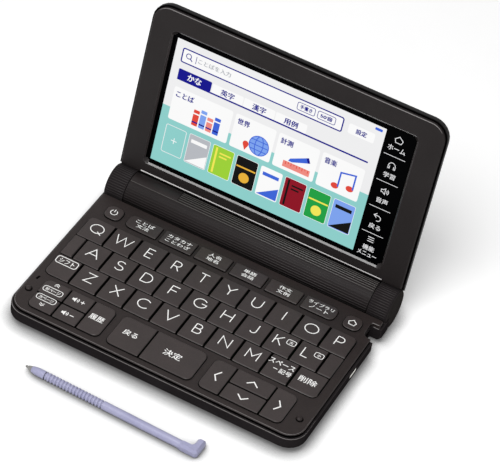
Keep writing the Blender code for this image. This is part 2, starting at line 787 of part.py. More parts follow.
def main():
    for thing in list(bpy.data.objects):
        bpy.data.objects.remove(thing)

    deck_plastic = make_material("deck_plastic", (0.036, 0.031, 0.030), 0.5)
    key_plastic = make_material("key_plastic", (0.059, 0.053, 0.051), 0.48)
    case_plastic = make_material("case_plastic", (0.020, 0.016, 0.017), 0.45)
    bezel_plastic = make_material("bezel_plastic", (0.030, 0.025, 0.025), 0.4)
    display_glass = make_material("display_glass", (0.005, 0.005, 0.006), 0.1)
    black_rubber = make_material("black_rubber", (0.015, 0.015, 0.015), 0.8)
    steel = make_material("steel", (0.55, 0.55, 0.56), 0.3, 1.0)
    board_green = make_material("board_green", (0.03, 0.16, 0.07), 0.45)
    cell_jacket = make_material("cell_jacket", (0.12, 0.12, 0.13), 0.35, 0.6)
    pen_plastic = make_material("pen_plastic", (0.39, 0.39, 0.62), 0.45)

    base = empty("base_frame", (0, -underside_centre, 0))
    lid = empty("lid_pivot", (0, axis_y, axis_height), base, (-lid_angle, 0, 0))
    tip = (-pen_start, -pen_ahead, table_level + pen_table_gap)
    table = empty("pen_place", tip, base, (0, 0, pen_turn))

    keys = {**function_keys(), **letter_rows(), **cluster_keys()}
    for name, box in keys.items():
        build_key(name, box, base, key_plastic)
    build_deck(keys, base, deck_plastic)
    build_case(base, case_plastic)
    build_foot(base, black_rubber)
    build_board(keys, base, board_green)
    build_pin(base, steel)
    build_barrel(lid, case_plastic)
    build_door(lid, case_plastic)
    build_cells(lid, cell_jacket)
    build_bezel(lid, bezel_plastic)
    build_cover(lid, case_plastic)
    build_display(lid, display_glass)
    build_pen(table, pen_plastic)
    print(f"hinge axis y {axis_y - underside_centre:.6f} z {axis_height:.6f}, table z {table_level:.6f}")


main()
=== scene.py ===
import json
import math

import bmesh
import bpy
from mathutils import Matrix, Vector

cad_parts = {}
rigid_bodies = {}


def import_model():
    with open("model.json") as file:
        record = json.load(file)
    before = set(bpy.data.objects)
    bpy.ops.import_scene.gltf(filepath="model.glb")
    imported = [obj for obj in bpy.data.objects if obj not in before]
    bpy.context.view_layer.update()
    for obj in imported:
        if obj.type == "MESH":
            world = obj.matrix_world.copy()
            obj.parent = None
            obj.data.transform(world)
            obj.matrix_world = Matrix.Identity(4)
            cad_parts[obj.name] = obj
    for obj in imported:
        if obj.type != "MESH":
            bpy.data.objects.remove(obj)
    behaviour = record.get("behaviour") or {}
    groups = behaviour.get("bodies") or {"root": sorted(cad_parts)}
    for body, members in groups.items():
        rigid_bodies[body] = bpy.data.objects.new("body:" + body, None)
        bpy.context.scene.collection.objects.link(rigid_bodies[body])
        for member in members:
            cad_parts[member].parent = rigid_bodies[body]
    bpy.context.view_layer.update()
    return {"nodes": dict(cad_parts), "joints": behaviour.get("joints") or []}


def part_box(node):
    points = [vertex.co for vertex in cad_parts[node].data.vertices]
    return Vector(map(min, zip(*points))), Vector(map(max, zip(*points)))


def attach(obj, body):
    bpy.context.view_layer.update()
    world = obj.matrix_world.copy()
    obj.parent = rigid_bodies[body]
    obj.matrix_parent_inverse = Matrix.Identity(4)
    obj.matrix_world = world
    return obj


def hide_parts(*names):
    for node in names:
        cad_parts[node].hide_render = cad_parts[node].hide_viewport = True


for leftover in list(bpy.data.objects):  # the default cube, lamp and camera
    bpy.data.objects.remove(leftover)
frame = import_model()
nodes = frame["nodes"]
stage = bpy.context.scene
mm = 0.001


def edgeOf(node, end, axis):
    # where a solid's box ends, in millimetres: end 0 is the low one and 1 the high one
    return round(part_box(node)[end]["xyz".index(axis)] / mm, 2)


# The places that the pieces share, in millimetres. The lid stands open by the angle that it closes through
lidHinge = next(joint for joint in frame["joints"] if joint["name"] == "lid_hinge")
deck = {"front": edgeOf("keyboard_deck", 0, "y"), "top": 8.4, "keyTop": edgeOf("key_space", 1, "z")}
hinge = {"y": lidHinge["pos_m"][1] / mm, "z": lidHinge["pos_m"][2] / mm, "radius": 9.64,
         "lidAngle": lidHinge["range_deg"][1]}
lidDepth = {"bezelFace": 2.23, "bezelBack": 3.53, "panelFace": 3.83}
lidBack = (0, math.sin(math.radians(hinge["lidAngle"])), math.cos(math.radians(hinge["lidAngle"])))


def deckPlace(x, y, z):
    return (x, y + deck["front"], z)


def lidPlace(x, s, n):
    # s runs up the lid from the hinge's axis, and n from the lid's face to its back
    _, sine, cosine = lidBack
    return (x, hinge["y"] - s * cosine + n * sine, hinge["z"] + s * sine + n * cosine)


def barrelPlace(x, angle, radius):
    # angle 0 faces the user and 90 is straight up
    turn = math.radians(angle)
    return (x, hinge["y"] - radius * math.cos(turn), hinge["z"] + radius * math.sin(turn))


# Mesh helpers. A sharp corner's mitre stops growing where the cosine of its half turn falls below these
mitre = {"line": 0.45, "outline": 0.3}
cornerSteps = 5


def linear(code):
    parts = [int(code[i:i + 2], 16) / 255 for i in (1, 3, 5)]
    return tuple(p / 12.92 if p <= 0.04045 else ((p + 0.055) / 1.055) ** 2.4 for p in parts) + (1.0,)


def addLoft(solid, rings, slot=0, looped=False):
    # joins rings of equal count, and closes both ends unless the last ring meets the first
    verts, faces = solid
    start, count = len(verts), len(rings[0])
    for ring in rings:
        verts.extend(ring)
    spans = len(rings) if looped else len(rings) - 1
    for i in range(spans):
        a, b = start + i * count, start + (i + 1) % len(rings) * count
        for j in range(count):
            k = (j + 1) % count
            faces.append(((a + j, a + k, b + k, b + j), slot))
    if not looped:
        faces.append((tuple(range(start + count - 1, start - 1, -1)), slot))
        last = start + (len(rings) - 1) * count
        faces.append((tuple(range(last, last + count)), slot))


def addPlate(solid, outline, low, high, place, slot=0):
    addLoft(solid, [[place(x, y, level) for x, y in outline] for level in (low, high)], slot)


def inset(outline, amount):
    count, shrunk = len(outline), []
    area = sum(outline[i][0] * outline[(i + 1) % count][1] - outline[(i + 1) % count][0] * outline[i][1]
               for i in range(count))
    side = 1 if area > 0 else -1
    for i, here in enumerate(outline):
        before, after = Vector(outline[i - 1]), Vector(outline[(i + 1) % count])
        here = Vector(here)
        first, second = (here - before).normalized(), (after - here).normalized()
        normals = [Vector((-d.y, d.x)) * side for d in (first, second)]
        middle = (normals[0] + normals[1]).normalized()
        shrunk.append(tuple(here + middle * amount / max(middle.dot(normals[0]), mitre["outline"])))
    return shrunk


def addRibbon(solid, path, width, low, high, place, slot=0, closed=False):
    # a raised line with mitred corners; the width is one number, or one for each point
    points = [Vector(p) for p in path]
    widths = width if isinstance(width, list) else [width] * len(points)
    rings = []
    for i, here in enumerate(points):
        ways = []
        if closed or i:
            ways.append((here - points[i - 1]).normalized())
        if closed or i < len(points) - 1:
            ways.append((points[(i + 1) % len(points)] - here).normalized())
        normals = [Vector((-d.y, d.x)) for d in ways]
        middle = sum(normals, Vector((0, 0))).normalized()
        reach = middle * widths[i] / 2 / max(middle.dot(normals[0]), mitre["line"])
        left, right = here + reach, here - reach
        rings.append([place(*left, low), place(*right, low), place(*right, high), place(*left, high)])
    addLoft(solid, rings, slot, closed)


def arc(cx, cy, rx, ry, first, last, steps):
    turns = [math.radians(first + (last - first) * i / steps) for i in range(steps + 1)]
    return [(cx + rx * math.cos(a), cy + ry * math.sin(a)) for a in turns]


def disc(cx, cy, rx, ry, sides):
    return arc(cx, cy, rx, ry, 0, 360, sides)[:-1]


def rounded(left, right, low, high, radius):
    corners = ((right, low, -90), (right, high, 0), (left, high, 90), (left, low, 180))
    points = []
    for x, y, start in corners:
        cx = x - radius if x == right else x + radius
        cy = y - radius if y == high else y + radius
        points += arc(cx, cy, radius, radius, start, start + 90, cornerSteps)
    return points


def borderPath(half, edge, corner, rise, steps, middles=(), turn=90, reach=None):
    # a straight edge between two round corners, and on to the points at reach where that is given; rise is
    # the corners' height, below zero at a far edge
    path = arc(-half + corner, edge + rise, corner, rise, 270 - turn, 270, steps)
    path += [(x, edge) for x in middles]
    path += arc(half - corner, edge + rise, corner, rise, 270, 270 + turn, steps)
    return path if reach is None else [(-half, reach), *path, (half, reach)]


def makePiece(name, solid, body, surfaces, smooth=None):
    # surfaces are the materials of the slots, in order; smooth is the angle below which edges are rounded
    verts, faces = solid
    mesh = bpy.data.meshes.new(name)
    mesh.from_pydata([Vector(v) * mm for v in verts], [], [f for f, _ in faces])
    for surface in surfaces:
        mesh.materials.append(surface)
    mesh.polygons.foreach_set("material_index", [slot for _, slot in faces])
    work = bmesh.new()
    work.from_mesh(mesh)
    bmesh.ops.recalc_face_normals(work, faces=work.faces)
    if smooth is not None:
        for face in work.faces:
            face.smooth = True
        for edge in work.edges:
            edge.smooth = edge.calc_face_angle(math.pi) < math.radians(smooth)
    work.to_mesh(mesh)
    work.free()
    piece = bpy.data.objects.new(name, mesh)
    stage.collection.objects.link(piece)
    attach(piece, body)
    return piece


# Materials

def addNode(tree, kind, settings=None, links=None):
    # names in lower case are the node's own settings, and the others are its sockets
    node = tree.nodes.new(kind)
    for key, value in (settings or {}).items():
        if isinstance(key, str) and key[0].islower():
            setattr(node, key, value)
        else:
            node.inputs[key].default_value = value
    for socket, source in (links or {}).items():
        tree.links.new(source, node.inputs[socket])
    return node


def newMaterial(name):
    material = bpy.data.materials.new(name)
    material.use_nodes = True
    tree = material.node_tree
    tree.nodes.clear()
    return material, tree


def finishMaterial(material, shader):
    addNode(material.node_tree, "ShaderNodeOutputMaterial", links={"Surface": shader.outputs[0]})
    return material


def perMetre(sizeInMm):
    return 1 / (sizeInMm * mm)


# The span that most of a noise texture's values lie in
noiseSpan = {"From Min": 0.3, "From Max": 0.7}


def mouldedPlastic(name, look):
    # moulded in a spark-eroded mould: a fine even grain that breaks up the gloss, and a slightly uneven
    # colour where hands have polished it
    material, tree = newMaterial(name)
    place = addNode(tree, "ShaderNodeTexCoord")
    size, depth, strength = look["grain"]
    grain = addNode(tree, "ShaderNodeTexNoise", {"Scale": perMetre(size), "Detail": 3.0, "Roughness": 0.6},
                    {"Vector": place.outputs["Object"]})
    handling = addNode(tree, "ShaderNodeTexNoise", {"Scale": perMetre(look["patch"]), "Detail": 4.0},
                       {"Vector": place.outputs["Object"]})
    tone = addNode(tree, "ShaderNodeValToRGB", links={"Fac": handling.outputs[0]})
    for element, code, where in zip(tone.color_ramp.elements, look["colours"], noiseSpan.values()):
        element.color = linear(code)
        element.position = where
    spread = look.get("speckle", 0.18)
    speckle = addNode(tree, "ShaderNodeMapRange", {**noiseSpan, "To Min": 1 - spread, "To Max": 1 + spread},
                      {"Value": grain.outputs[0]})
    colour = addNode(tree, "ShaderNodeVectorMath", {"operation": "SCALE"},
                     {0: tone.outputs[0], "Scale": speckle.outputs[0]}).outputs[0]
    if "paintedEdgeHighlight" in look:
        # painted highlight: corners are painted paler, as if they caught the light; the mask is where a
        # rounded normal leaves the real one
        reach, amount, code = look["paintedEdgeHighlight"]
        soft = addNode(tree, "ShaderNodeBevel", {"samples": 4, "Radius": reach * mm})
        real = addNode(tree, "ShaderNodeNewGeometry")
        match = addNode(tree, "ShaderNodeVectorMath", {"operation": "DOT_PRODUCT"},
                        {0: soft.outputs[0], 1: real.outputs["Normal"]})
        highlightMask = addNode(tree, "ShaderNodeMapRange", {"From Min": 0.99, "From Max": 0.80, "To Max": amount},
                       {"Value": match.outputs["Value"]})
        colour = addNode(tree, "ShaderNodeMix", {"data_type": "RGBA", 7: linear(code)},
                         {0: highlightMask.outputs[0], 6: colour}).outputs["Result"]
    shades = []
    if "paintedOcclusionShade" in look:
        # painted shade: near other surfaces, in narrow gaps and close to the deck or table, the colour is
        # darkened towards black, since little light gets there
        reach, closed, clear = look["paintedOcclusionShade"]
        nook = addNode(tree, "ShaderNodeAmbientOcclusion", {"samples": 6, "Distance": reach * mm})
        shades.append((nook.outputs["AO"], {"From Min": closed, "From Max": clear, "To Min": 0.06}))
    if "paintedWallShade" in look:
        # painted shade: the walls that turn away from the broad face are painted near black, as if unlit
        way, walls = look["paintedWallShade"]
        turned = addNode(tree, "ShaderNodeVectorMath", {"operation": "DOT_PRODUCT", 1: way},
                         {0: place.outputs["Normal"]})
        shades.append((turned.outputs["Value"], {"From Min": 0.3, "From Max": 0.75, "To Min": walls}))
    for mask, span in shades:
        shade = addNode(tree, "ShaderNodeMapRange", span, {"Value": mask})
        colour = addNode(tree, "ShaderNodeVectorMath", {"operation": "SCALE"},
                         {0: colour, "Scale": shade.outputs[0]}).outputs[0]
    dull, shiny = look["roughness"]
    roughness = addNode(tree, "ShaderNodeMapRange", {**noiseSpan, "To Min": dull, "To Max": shiny},
                        {"Value": handling.outputs[0]})
    bump = addNode(tree, "ShaderNodeBump", {"Strength": strength, "Distance": depth * mm},
                   {"Height": grain.outputs[0]})
    shader = addNode(tree, "ShaderNodeBsdfPrincipled", {"Specular IOR Level": look["gloss"], "IOR": 1.53},
                     {"Base Color": colour, "Roughness": roughness.outputs[0], "Normal": bump.outputs[0]})
    return finishMaterial(material, shader)


# Lengths are in millimetres. grain is the bump's size, depth and strength: a real moulded grain is about
# 0.1 mm, drawn two to six times as coarse so that it shows. patch is the size of the handled patches,
# paintedEdgeHighlight is the reach, amount and colour of a painted highlight on corners,
# paintedOcclusionShade is the reach of a painted shade near other surfaces and the openness at which it is
# black and clear, and paintedWallShade is the broad face's way and how dark the painted shade on its walls is
plasticLooks = {
    # ABS, matte: the deck's, case's and bezel's corners get a painted highlight, and painted shade blackens
    # the gaps round the keys and the keys' walls
    "mouldedAbsDeck": {
        "colours": ("#231C1B", "#292221"), "grain": (0.5, 0.03, 0.6), "patch": 18.0, "speckle": 0.3,
        "roughness": (0.52, 0.44), "gloss": 0.20, "paintedEdgeHighlight": (0.35, 0.4, "#5A5453"),
        "paintedOcclusionShade": (1.5, 0.5, 0.93)},
    "mouldedAbsKeys": {
        "colours": ("#312A29", "#372F2E"), "grain": (0.3, 0.02, 0.5), "patch": 9.0, "speckle": 0.26,
        "roughness": (0.44, 0.36), "gloss": 0.30, "paintedOcclusionShade": (0.9, 0.5, 0.96), "paintedWallShade": ((0, 0, 1), 0.1)},
    "mouldedAbsCase": {
        "colours": ("#232021", "#292627"), "grain": (0.35, 0.03, 0.6), "patch": 22.0,
        "roughness": (0.62, 0.54), "gloss": 0.0, "paintedEdgeHighlight": (0.35, 0.6, "#4E4948")},
    "mouldedAbsCover": {
        "colours": ("#221F20", "#292526"), "grain": (0.35, 0.03, 0.6), "patch": 30.0,
        "roughness": (0.52, 0.44), "gloss": 0.08, "paintedWallShade": (lidBack, 0.12)},
    "mouldedAbsBezel": {
        "colours": ("#1E1A1A", "#231F1F"), "grain": (0.3, 0.02, 0.5), "patch": 25.0,
        "roughness": (0.50, 0.42), "gloss": 0.16, "paintedEdgeHighlight": (0.3, 0.6, "#4E4948")},
    # painted shade darkens the barrel and its ribs on the side that faces the deck
    "mouldedAbsBarrel": {
        "colours": ("#191515", "#1F1A1A"), "grain": (0.35, 0.03, 0.6), "patch": 16.0,
        "roughness": (0.50, 0.42), "gloss": 0.10, "paintedOcclusionShade": (6.0, 0.5, 0.96)},
    "mouldedAbsRibs": {
        "colours": ("#231E1E", "#292323"), "grain": (0.3, 0.02, 0.5), "patch": 14.0,
        "roughness": (0.44, 0.36), "gloss": 0.16, "paintedOcclusionShade": (6.0, 0.5, 0.96)},
    # painted light: a paler copy of the barrel's plastic for the hinge's end caps
    "paleCapsPaintedLight": {
        "colours": ("#2F2C2B", "#353231"), "grain": (0.35, 0.02, 0.5), "patch": 12.0,
        "roughness": (0.60, 0.52), "gloss": 0.0},
    # painted highlights: paler, glossier copies of the plastic, for the barrel's top ribs and fine lines
    # along edges
    "paleRibsPaintedHighlight": {
        "colours": ("#413D3B", "#494543"), "grain": (0.3, 0.01, 0.3), "patch": 14.0,
        "roughness": (0.36, 0.28), "gloss": 0.30},
    "paleEdgesPaintedHighlight": {
        "colours": ("#7A7675", "#868281"), "grain": (0.3, 0.005, 0.2), "patch": 20.0,
        "roughness": (0.30, 0.24), "gloss": 0.50},
    # the pen: satin lilac ABS with painted shade on its underside near the table and deep in its
    # grooves, and a waxy grey acetal tip
    "mouldedAbsLilac": {
        "colours": ("#9A9ABA", "#A7A7C4"), "grain": (0.25, 0.01, 0.4), "patch": 12.0,
        "roughness": (0.45, 0.36), "gloss": 0.4, "paintedOcclusionShade": (3.0, 0.3, 0.8)},
    "mouldedAcetalTip": {
        "colours": ("#7E7D7A", "#8C8B88"), "grain": (0.2, 0.01, 0.4), "patch": 3.0,
        "roughness": (0.5, 0.4), "gloss": 0.4},
    # silicone rubber: dull, with a deep grain
    "mouldedSiliconeRubber": {
        "colours": ("#121212", "#191919"), "grain": (0.5, 0.05, 0.7), "patch": 6.0,
        "roughness": (0.85, 0.75), "gloss": 0.2},
    # woven glass under a coat of green resin, which leaves a faint unevenness
    "solderMaskedFibreglass": {
        "colours": ("#0E4A2A", "#125A33"), "grain": (0.4, 0.02, 0.3), "patch": 8.0,
        "roughness": (0.4, 0.3), "gloss": 0.5},
    # a PVC film shrunk on the cells: glossy, with soft waves
    "shrunkPvcSleeve": {
        "colours": ("#1B1B1D", "#222226"), "grain": (0.6, 0.01, 0.3), "patch": 10.0,
        "roughness": (0.35, 0.25), "gloss": 0.5},
}
plastics = {name: mouldedPlastic(name, look) for name, look in plasticLooks.items()}


def groundSteel():
    # hardened pin ground between wheels: fine rings round its length that stretch the highlight. The wave
    # turns 20 radians for each unit of its scale, so the rings lie 2.5 mm apart, coarser than the real ones
    material, tree = newMaterial("groundSteelPin")
    place = addNode(tree, "ShaderNodeTexCoord")
    rings = addNode(tree, "ShaderNodeTexWave", {"wave_type": "BANDS", "bands_direction": "X",
                                                "Scale": perMetre(0.4) / 20, "Distortion": 1.5},
                    {"Vector": place.outputs["Object"]})
    bump = addNode(tree, "ShaderNodeBump", {"Strength": 0.3, "Distance": 0.01 * mm},
                   {"Height": rings.outputs[1]})
    shader = addNode(tree, "ShaderNodeBsdfPrincipled",
                     {"Base Color": linear("#B5B6B8"), "Metallic": 1.0, "Roughness": 0.32},
                     {"Normal": bump.outputs[0]})
    return finishMaterial(material, shader)


def polishedSurface(name, look):
    # a smooth face whose haze drifts in soft clouds, so that what it mirrors isn't too perfect
    material, tree = newMaterial(name)
    place = addNode(tree, "ShaderNodeTexCoord")
    size, detail = look["cloud"]
    cloud = addNode(tree, "ShaderNodeTexNoise", {"Scale": perMetre(size), "Detail": detail},
                    {"Vector": place.outputs["Object"]})
    clear, hazy = look["haze"]
    haze = addNode(tree, "ShaderNodeMapRange", {"To Min": clear, "To Max": hazy}, {"Value": cloud.outputs[0]})
    depth, strength = look["bump"]
    bump = addNode(tree, "ShaderNodeBump", {"Strength": strength, "Distance": depth * mm},
                   {"Height": cloud.outputs[0]})
    shader = addNode(tree, "ShaderNodeBsdfPrincipled",
                     {"Base Color": linear(look["colour"]), **look["sockets"]},
                     {"Roughness": haze.outputs[0], "Normal": bump.outputs[0]})
    return finishMaterial(material, shader)


# cloud is the clouds' size in mm and their detail, haze the least and most roughness, and bump the depth in
# mm and the strength
polishedLooks = {
    # the touch film over the panel: a black printed mask behind a smooth hard coat
    "hardCoatedTouchFilm": {"colour": "#020203", "cloud": (14.0, 2.0), "haze": (0.10, 0.20),
                            "bump": (0.02, 0.2), "sockets": {"Specular IOR Level": 0.01, "IOR": 1.5}},
    # ABS against a polished face of the mould: it mirrors the lamp as a bright line
    "polishedAbsBevel": {"colour": "#2A2525", "cloud": (6.0, 2.0), "haze": (0.16, 0.22),
                         "bump": (0.01, 0.1), "sockets": {"Specular IOR Level": 0.5, "IOR": 1.53}},
    # pressed steel with a thin nickel plate: bright, with a soft drawn haze from the press
    "nickelPlatedSteel": {"colour": "#CFCDC8", "cloud": (1.2, 3.0), "haze": (0.22, 0.38),
                          "bump": (0.01, 0.2), "sockets": {"Metallic": 1.0}},
}
polished = {name: polishedSurface(name, look) for name, look in polishedLooks.items()}


def litPixels(name, code):
    # backlit liquid crystal cells: colour comes from behind an even diffuser that dims a little in patches
    material, tree = newMaterial(name)
    place = addNode(tree, "ShaderNodeTexCoord")
    diffuser = addNode(tree, "ShaderNodeTexNoise", {"Scale": perMetre(30.0), "Detail": 1.0},
                       {"Vector": place.outputs["Object"]})
    level = addNode(tree, "ShaderNodeMapRange", {"To Min": 0.95, "To Max": 1.0},
                    {"Value": diffuser.outputs[0]})
    shader = addNode(tree, "ShaderNodeBsdfPrincipled",
                     {"Base Color": linear("#020202"), "Roughness": 0.3, "Specular IOR Level": 0.05,
                      "Emission Color": linear(code)}, {"Emission Strength": level.outputs[0]})
    return finishMaterial(material, shader)


def printedInk(name, code, roughness=0.45, gloss=0.3):
    # pad-printed ink: a thin opaque film, slightly uneven in tone where the pad lifted
    material, tree = newMaterial(name)
    place = addNode(tree, "ShaderNodeTexCoord")
    film = addNode(tree, "ShaderNodeTexNoise", {"Scale": perMetre(0.8), "Detail": 2.0},
                   {"Vector": place.outputs["Object"]})
    level = addNode(tree, "ShaderNodeMapRange", {"To Min": 0.92, "To Max": 1.0}, {"Value": film.outputs[0]})
    colour = addNode(tree, "ShaderNodeVectorMath", {"operation": "SCALE", 0: linear(code)[:3]},
                     {"Scale": level.outputs[0]})
    shader = addNode(tree, "ShaderNodeBsdfPrincipled", {"Roughness": roughness, "Specular IOR Level": gloss},
                     {"Base Color": colour.outputs[0]})
    return finishMaterial(material, shader)


steelPin = groundSteel()
legendInk = printedInk("padPrintedWhiteInk", "#FCFBF9")
# painted shade: this matt black fills gaps, slots and seams where shade falls; it is also the black of the
# socket's tongue and the window's gasket
darkRecess = printedInk("mattBlackAndPaintedShade", "#040404", 0.9, 0.0)  # matt black, so that gaps swallow light
chinPaintedHighlight = printedInk("paleChinPaintedHighlight", "#F2EFEE", 0.35)  # a pale line, a little glossier than ink: a painted highlight on the bezel's lower edge
print("materials made")


# The camera, matched to the photograph by the corners of the base and the lid
view = {"azimuth": 21.691, "elevation": 44.002, "roll": 9.103, "distance": 1297.86,
        "target": (-4.369, 59.499, 8.4), "focalPixels": 2818.48, "imageWidth": 500, "sensor": 36.0,
        "clip": (0.01, 20.0)}  # clip in metres


def placeCamera():
    azimuth, elevation, roll = (math.radians(view[k]) for k in ("azimuth", "elevation", "roll"))
    backward = Vector((math.sin(azimuth) * math.cos(elevation), -math.cos(azimuth) * math.cos(elevation),
                       math.sin(elevation)))
    level = Vector((math.cos(azimuth), math.sin(azimuth), 0))
    upright = backward.cross(level)
    right = level * math.cos(roll) + upright * math.sin(roll)
    up = upright * math.cos(roll) - level * math.sin(roll)
    turn = Matrix((right, up, backward)).transposed().to_4x4()
    data = bpy.data.cameras.new("camera")
    data.sensor_width = view["sensor"]
    data.sensor_fit = "HORIZONTAL"
    data.lens = view["focalPixels"] / view["imageWidth"] * view["sensor"]
    data.clip_start, data.clip_end = view["clip"]
    camera = bpy.data.objects.new("camera", data)
    stage.collection.objects.link(camera)
    where = (Vector(view["target"]) + backward * view["distance"]) * mm
    camera.matrix_world = Matrix.Translation(where) @ turn
    stage.camera = camera


# A pale table in soft daylight, with one large lamp high in front; places in mm, the lamp's size in m
light = {"white": "#FFFFFF", "sky": 0.35, "lampPower": 6.7, "lampSize": 0.55,
         "lampPlace": (-30, -400, 850), "lampAim": (0, 10, 20)}
tableLook = {"level": edgeOf("front_foot", 0, "z"), "size": 4000, "colour": "#F2F2F2", "mottle": 12.0,
             "lift": 0.31, "contact": 8.0, "shade": 0.66, "shadeColour": "#1A1A1A"}


def seenRays(tree):
    # 1 where the camera, a mirror or glass looks, and 0 where light is gathered for the object
    path = addNode(tree, "ShaderNodeLightPath")
    seen = addNode(tree, "ShaderNodeMath", {"operation": "ADD"},
                   {0: path.outputs["Is Camera Ray"], 1: path.outputs["Is Glossy Ray"]})
    return addNode(tree, "ShaderNodeMath", {"operation": "ADD", "use_clamp": True},
                   {0: seen.outputs[0], 1: path.outputs["Is Transmission Ray"]})


def lightStage():
    world = bpy.data.worlds.new("paleStudio")
    stage.world = world
    world.use_nodes = True
    tree = world.node_tree
    tree.nodes.clear()
    sky, white = (addNode(tree, "ShaderNodeBackground", {"Color": linear(light["white"]), "Strength": level})
                  for level in (light["sky"], 1.0))
    mixed = addNode(tree, "ShaderNodeMixShader",
                    links={0: seenRays(tree).outputs[0], 1: sky.outputs[0], 2: white.outputs[0]})
    addNode(tree, "ShaderNodeOutputWorld", links={"Surface": mixed.outputs[0]})

    lamp = bpy.data.lights.new("softLamp", "AREA")
    lamp.shape, lamp.size, lamp.energy = "DISK", light["lampSize"], light["lampPower"]
    holder = bpy.data.objects.new("softLamp", lamp)
    holder.location = Vector(light["lampPlace"]) * mm
    aim = Vector(light["lampAim"]) * mm - holder.location
    holder.rotation_euler = aim.to_track_quat("-Z", "Y").to_euler()
    stage.collection.objects.link(holder)


def whiteLaminate():
    # matt white laminate: the lift is seen but lights nothing, and the shadow stays. The texture's own
    # coordinates run from 0 to 1 over the whole table
    look = tableLook
    material, tree = newMaterial("matteWhiteLaminate")
    lift = addNode(tree, "ShaderNodeMath", {"operation": "MULTIPLY", 1: look["lift"]},
                   {0: seenRays(tree).outputs[0]})
    speckle = addNode(tree, "ShaderNodeTexNoise", {"Scale": look["size"] / look["mottle"]})
    tint = addNode(tree, "ShaderNodeMapRange", {"To Min": 0.97, "To Max": 1.0}, {"Value": speckle.outputs[0]})
    colour = addNode(tree, "ShaderNodeVectorMath", {"operation": "SCALE", 0: linear(look["colour"])[:3]},
                     {"Scale": tint.outputs[0]})
    base = addNode(tree, "ShaderNodeBsdfDiffuse", links={"Color": colour.outputs[0]})
    glow = addNode(tree, "ShaderNodeEmission", {"Color": linear(light["white"])},
                   {"Strength": lift.outputs[0]})
    both = addNode(tree, "ShaderNodeAddShader", links={0: base.outputs[0], 1: glow.outputs[0]})
    # painted shadow: close to what stands on it the table is painted grey, as it would turn under a wide soft
    # lamp
    near = addNode(tree, "ShaderNodeAmbientOcclusion", {"samples": 8, "Distance": look["contact"] * mm})
    shade = addNode(tree, "ShaderNodeMapRange",
                    {"From Min": 0.55, "From Max": 0.98, "To Min": look["shade"], "To Max": 0.0},
                    {"Value": near.outputs["AO"]})
    dark = addNode(tree, "ShaderNodeBsdfDiffuse", {"Color": linear(look["shadeColour"])})
    shaded = addNode(tree, "ShaderNodeMixShader",
                     links={0: shade.outputs[0], 1: both.outputs[0], 2: dark.outputs[0]})
    return finishMaterial(material, shaded)


def layTable():
    half, level = tableLook["size"] / 2, tableLook["level"]
    corners = ((-half, -half), (half, -half), (half, half), (-half, half))
    table = bpy.data.meshes.new("paleTable")
    table.from_pydata([Vector((x, y, level)) * mm for x, y in corners], [], [(0, 1, 2, 3)])
    table.materials.append(whiteLaminate())
    floor = bpy.data.objects.new("paleTable", table)
    stage.collection.objects.link(floor)


placeCamera()
lightStage()
layTable()
stage.view_settings.view_transform = "Standard"
print("camera, light and table placed")


# What comes straight from the solids: each moulding's plastic and the real radius of its edges, in mm
finishes = {
    "keyboard_deck": ("mouldedAbsDeck", 0.15), "bottom_case": ("mouldedAbsCase", 0.15),
    "lid_bezel": ("mouldedAbsBezel", 0.12), "lid_back_cover": ("mouldedAbsCover", 0.2),
    "hinge_barrel": ("mouldedAbsBarrel", 0.12), "battery_door": ("mouldedAbsBarrel", 0.12),
    "front_foot": ("mouldedSiliconeRubber", 0.0), "circuit_board": ("solderMaskedFibreglass", 0.0),
    "batteries": ("shrunkPvcSleeve", 0.0), "stylus": ("mouldedAbsLilac", 0.0),
}
finishes.update({name: ("mouldedAbsKeys", 0.09) for name in nodes if name.startswith("key_")})
edgeWork = {"weld": 0.002, "flatWithin": 0.5, "sharpFrom": 35, "smoothUpTo": 32}  # mm, then degrees


def roundedShading():
    # edges turn smooth up to a small angle, so that round forms lose their facets
    group = bpy.data.node_groups.new("roundedShading", "GeometryNodeTree")
    for way in ("INPUT", "OUTPUT"):
        group.interface.new_socket("Geometry", in_out=way, socket_type="NodeSocketGeometry")
    entry = addNode(group, "NodeGroupInput")
    angle = addNode(group, "GeometryNodeInputMeshEdgeAngle")
    most = math.radians(edgeWork["smoothUpTo"])
    gentle = addNode(group, "FunctionNodeCompare", {"data_type": "FLOAT", "operation": "LESS_THAN", 1: most},
                     {0: angle.outputs["Unsigned Angle"]})
    faces = addNode(group, "GeometryNodeSetShadeSmooth", {"domain": "FACE", "Shade Smooth": True},
                    {"Geometry": entry.outputs[0]})
    edges = addNode(group, "GeometryNodeSetShadeSmooth", {"domain": "EDGE"},
                    {"Geometry": faces.outputs[0], "Shade Smooth": gentle.outputs[0]})
    addNode(group, "NodeGroupOutput", links={0: edges.outputs[0]})
    return group


shading = roundedShading()


def dressNode(name, material, radius=0.0):
    node = nodes[name]
    node.data.materials.clear()
    node.data.materials.append(material)
    if radius:
        weld = node.modifiers.new("weld", "WELD")
        weld.merge_threshold = edgeWork["weld"] * mm
        flat = node.modifiers.new("flats", "DECIMATE")
        flat.decimate_type = "DISSOLVE"
        flat.angle_limit = math.radians(edgeWork["flatWithin"])
        edge = node.modifiers.new("edgeRadius", "BEVEL")
        edge.width = radius * mm
        edge.segments = 2
        edge.limit_method = "ANGLE"
        edge.angle_limit = math.radians(edgeWork["sharpFrom"])
        node.modifiers.new("smooth", "NODES").node_group = shading
        even = node.modifiers.new("evenNormals", "WEIGHTED_NORMAL")
        even.keep_sharp = True


for name, (plastic, radius) in finishes.items():
    dressNode(name, plastics[plastic], radius)
dressNode("hinge_pin", steelPin)
dressNode("display_panel", polished["hardCoatedTouchFilm"])
print("solids dressed")

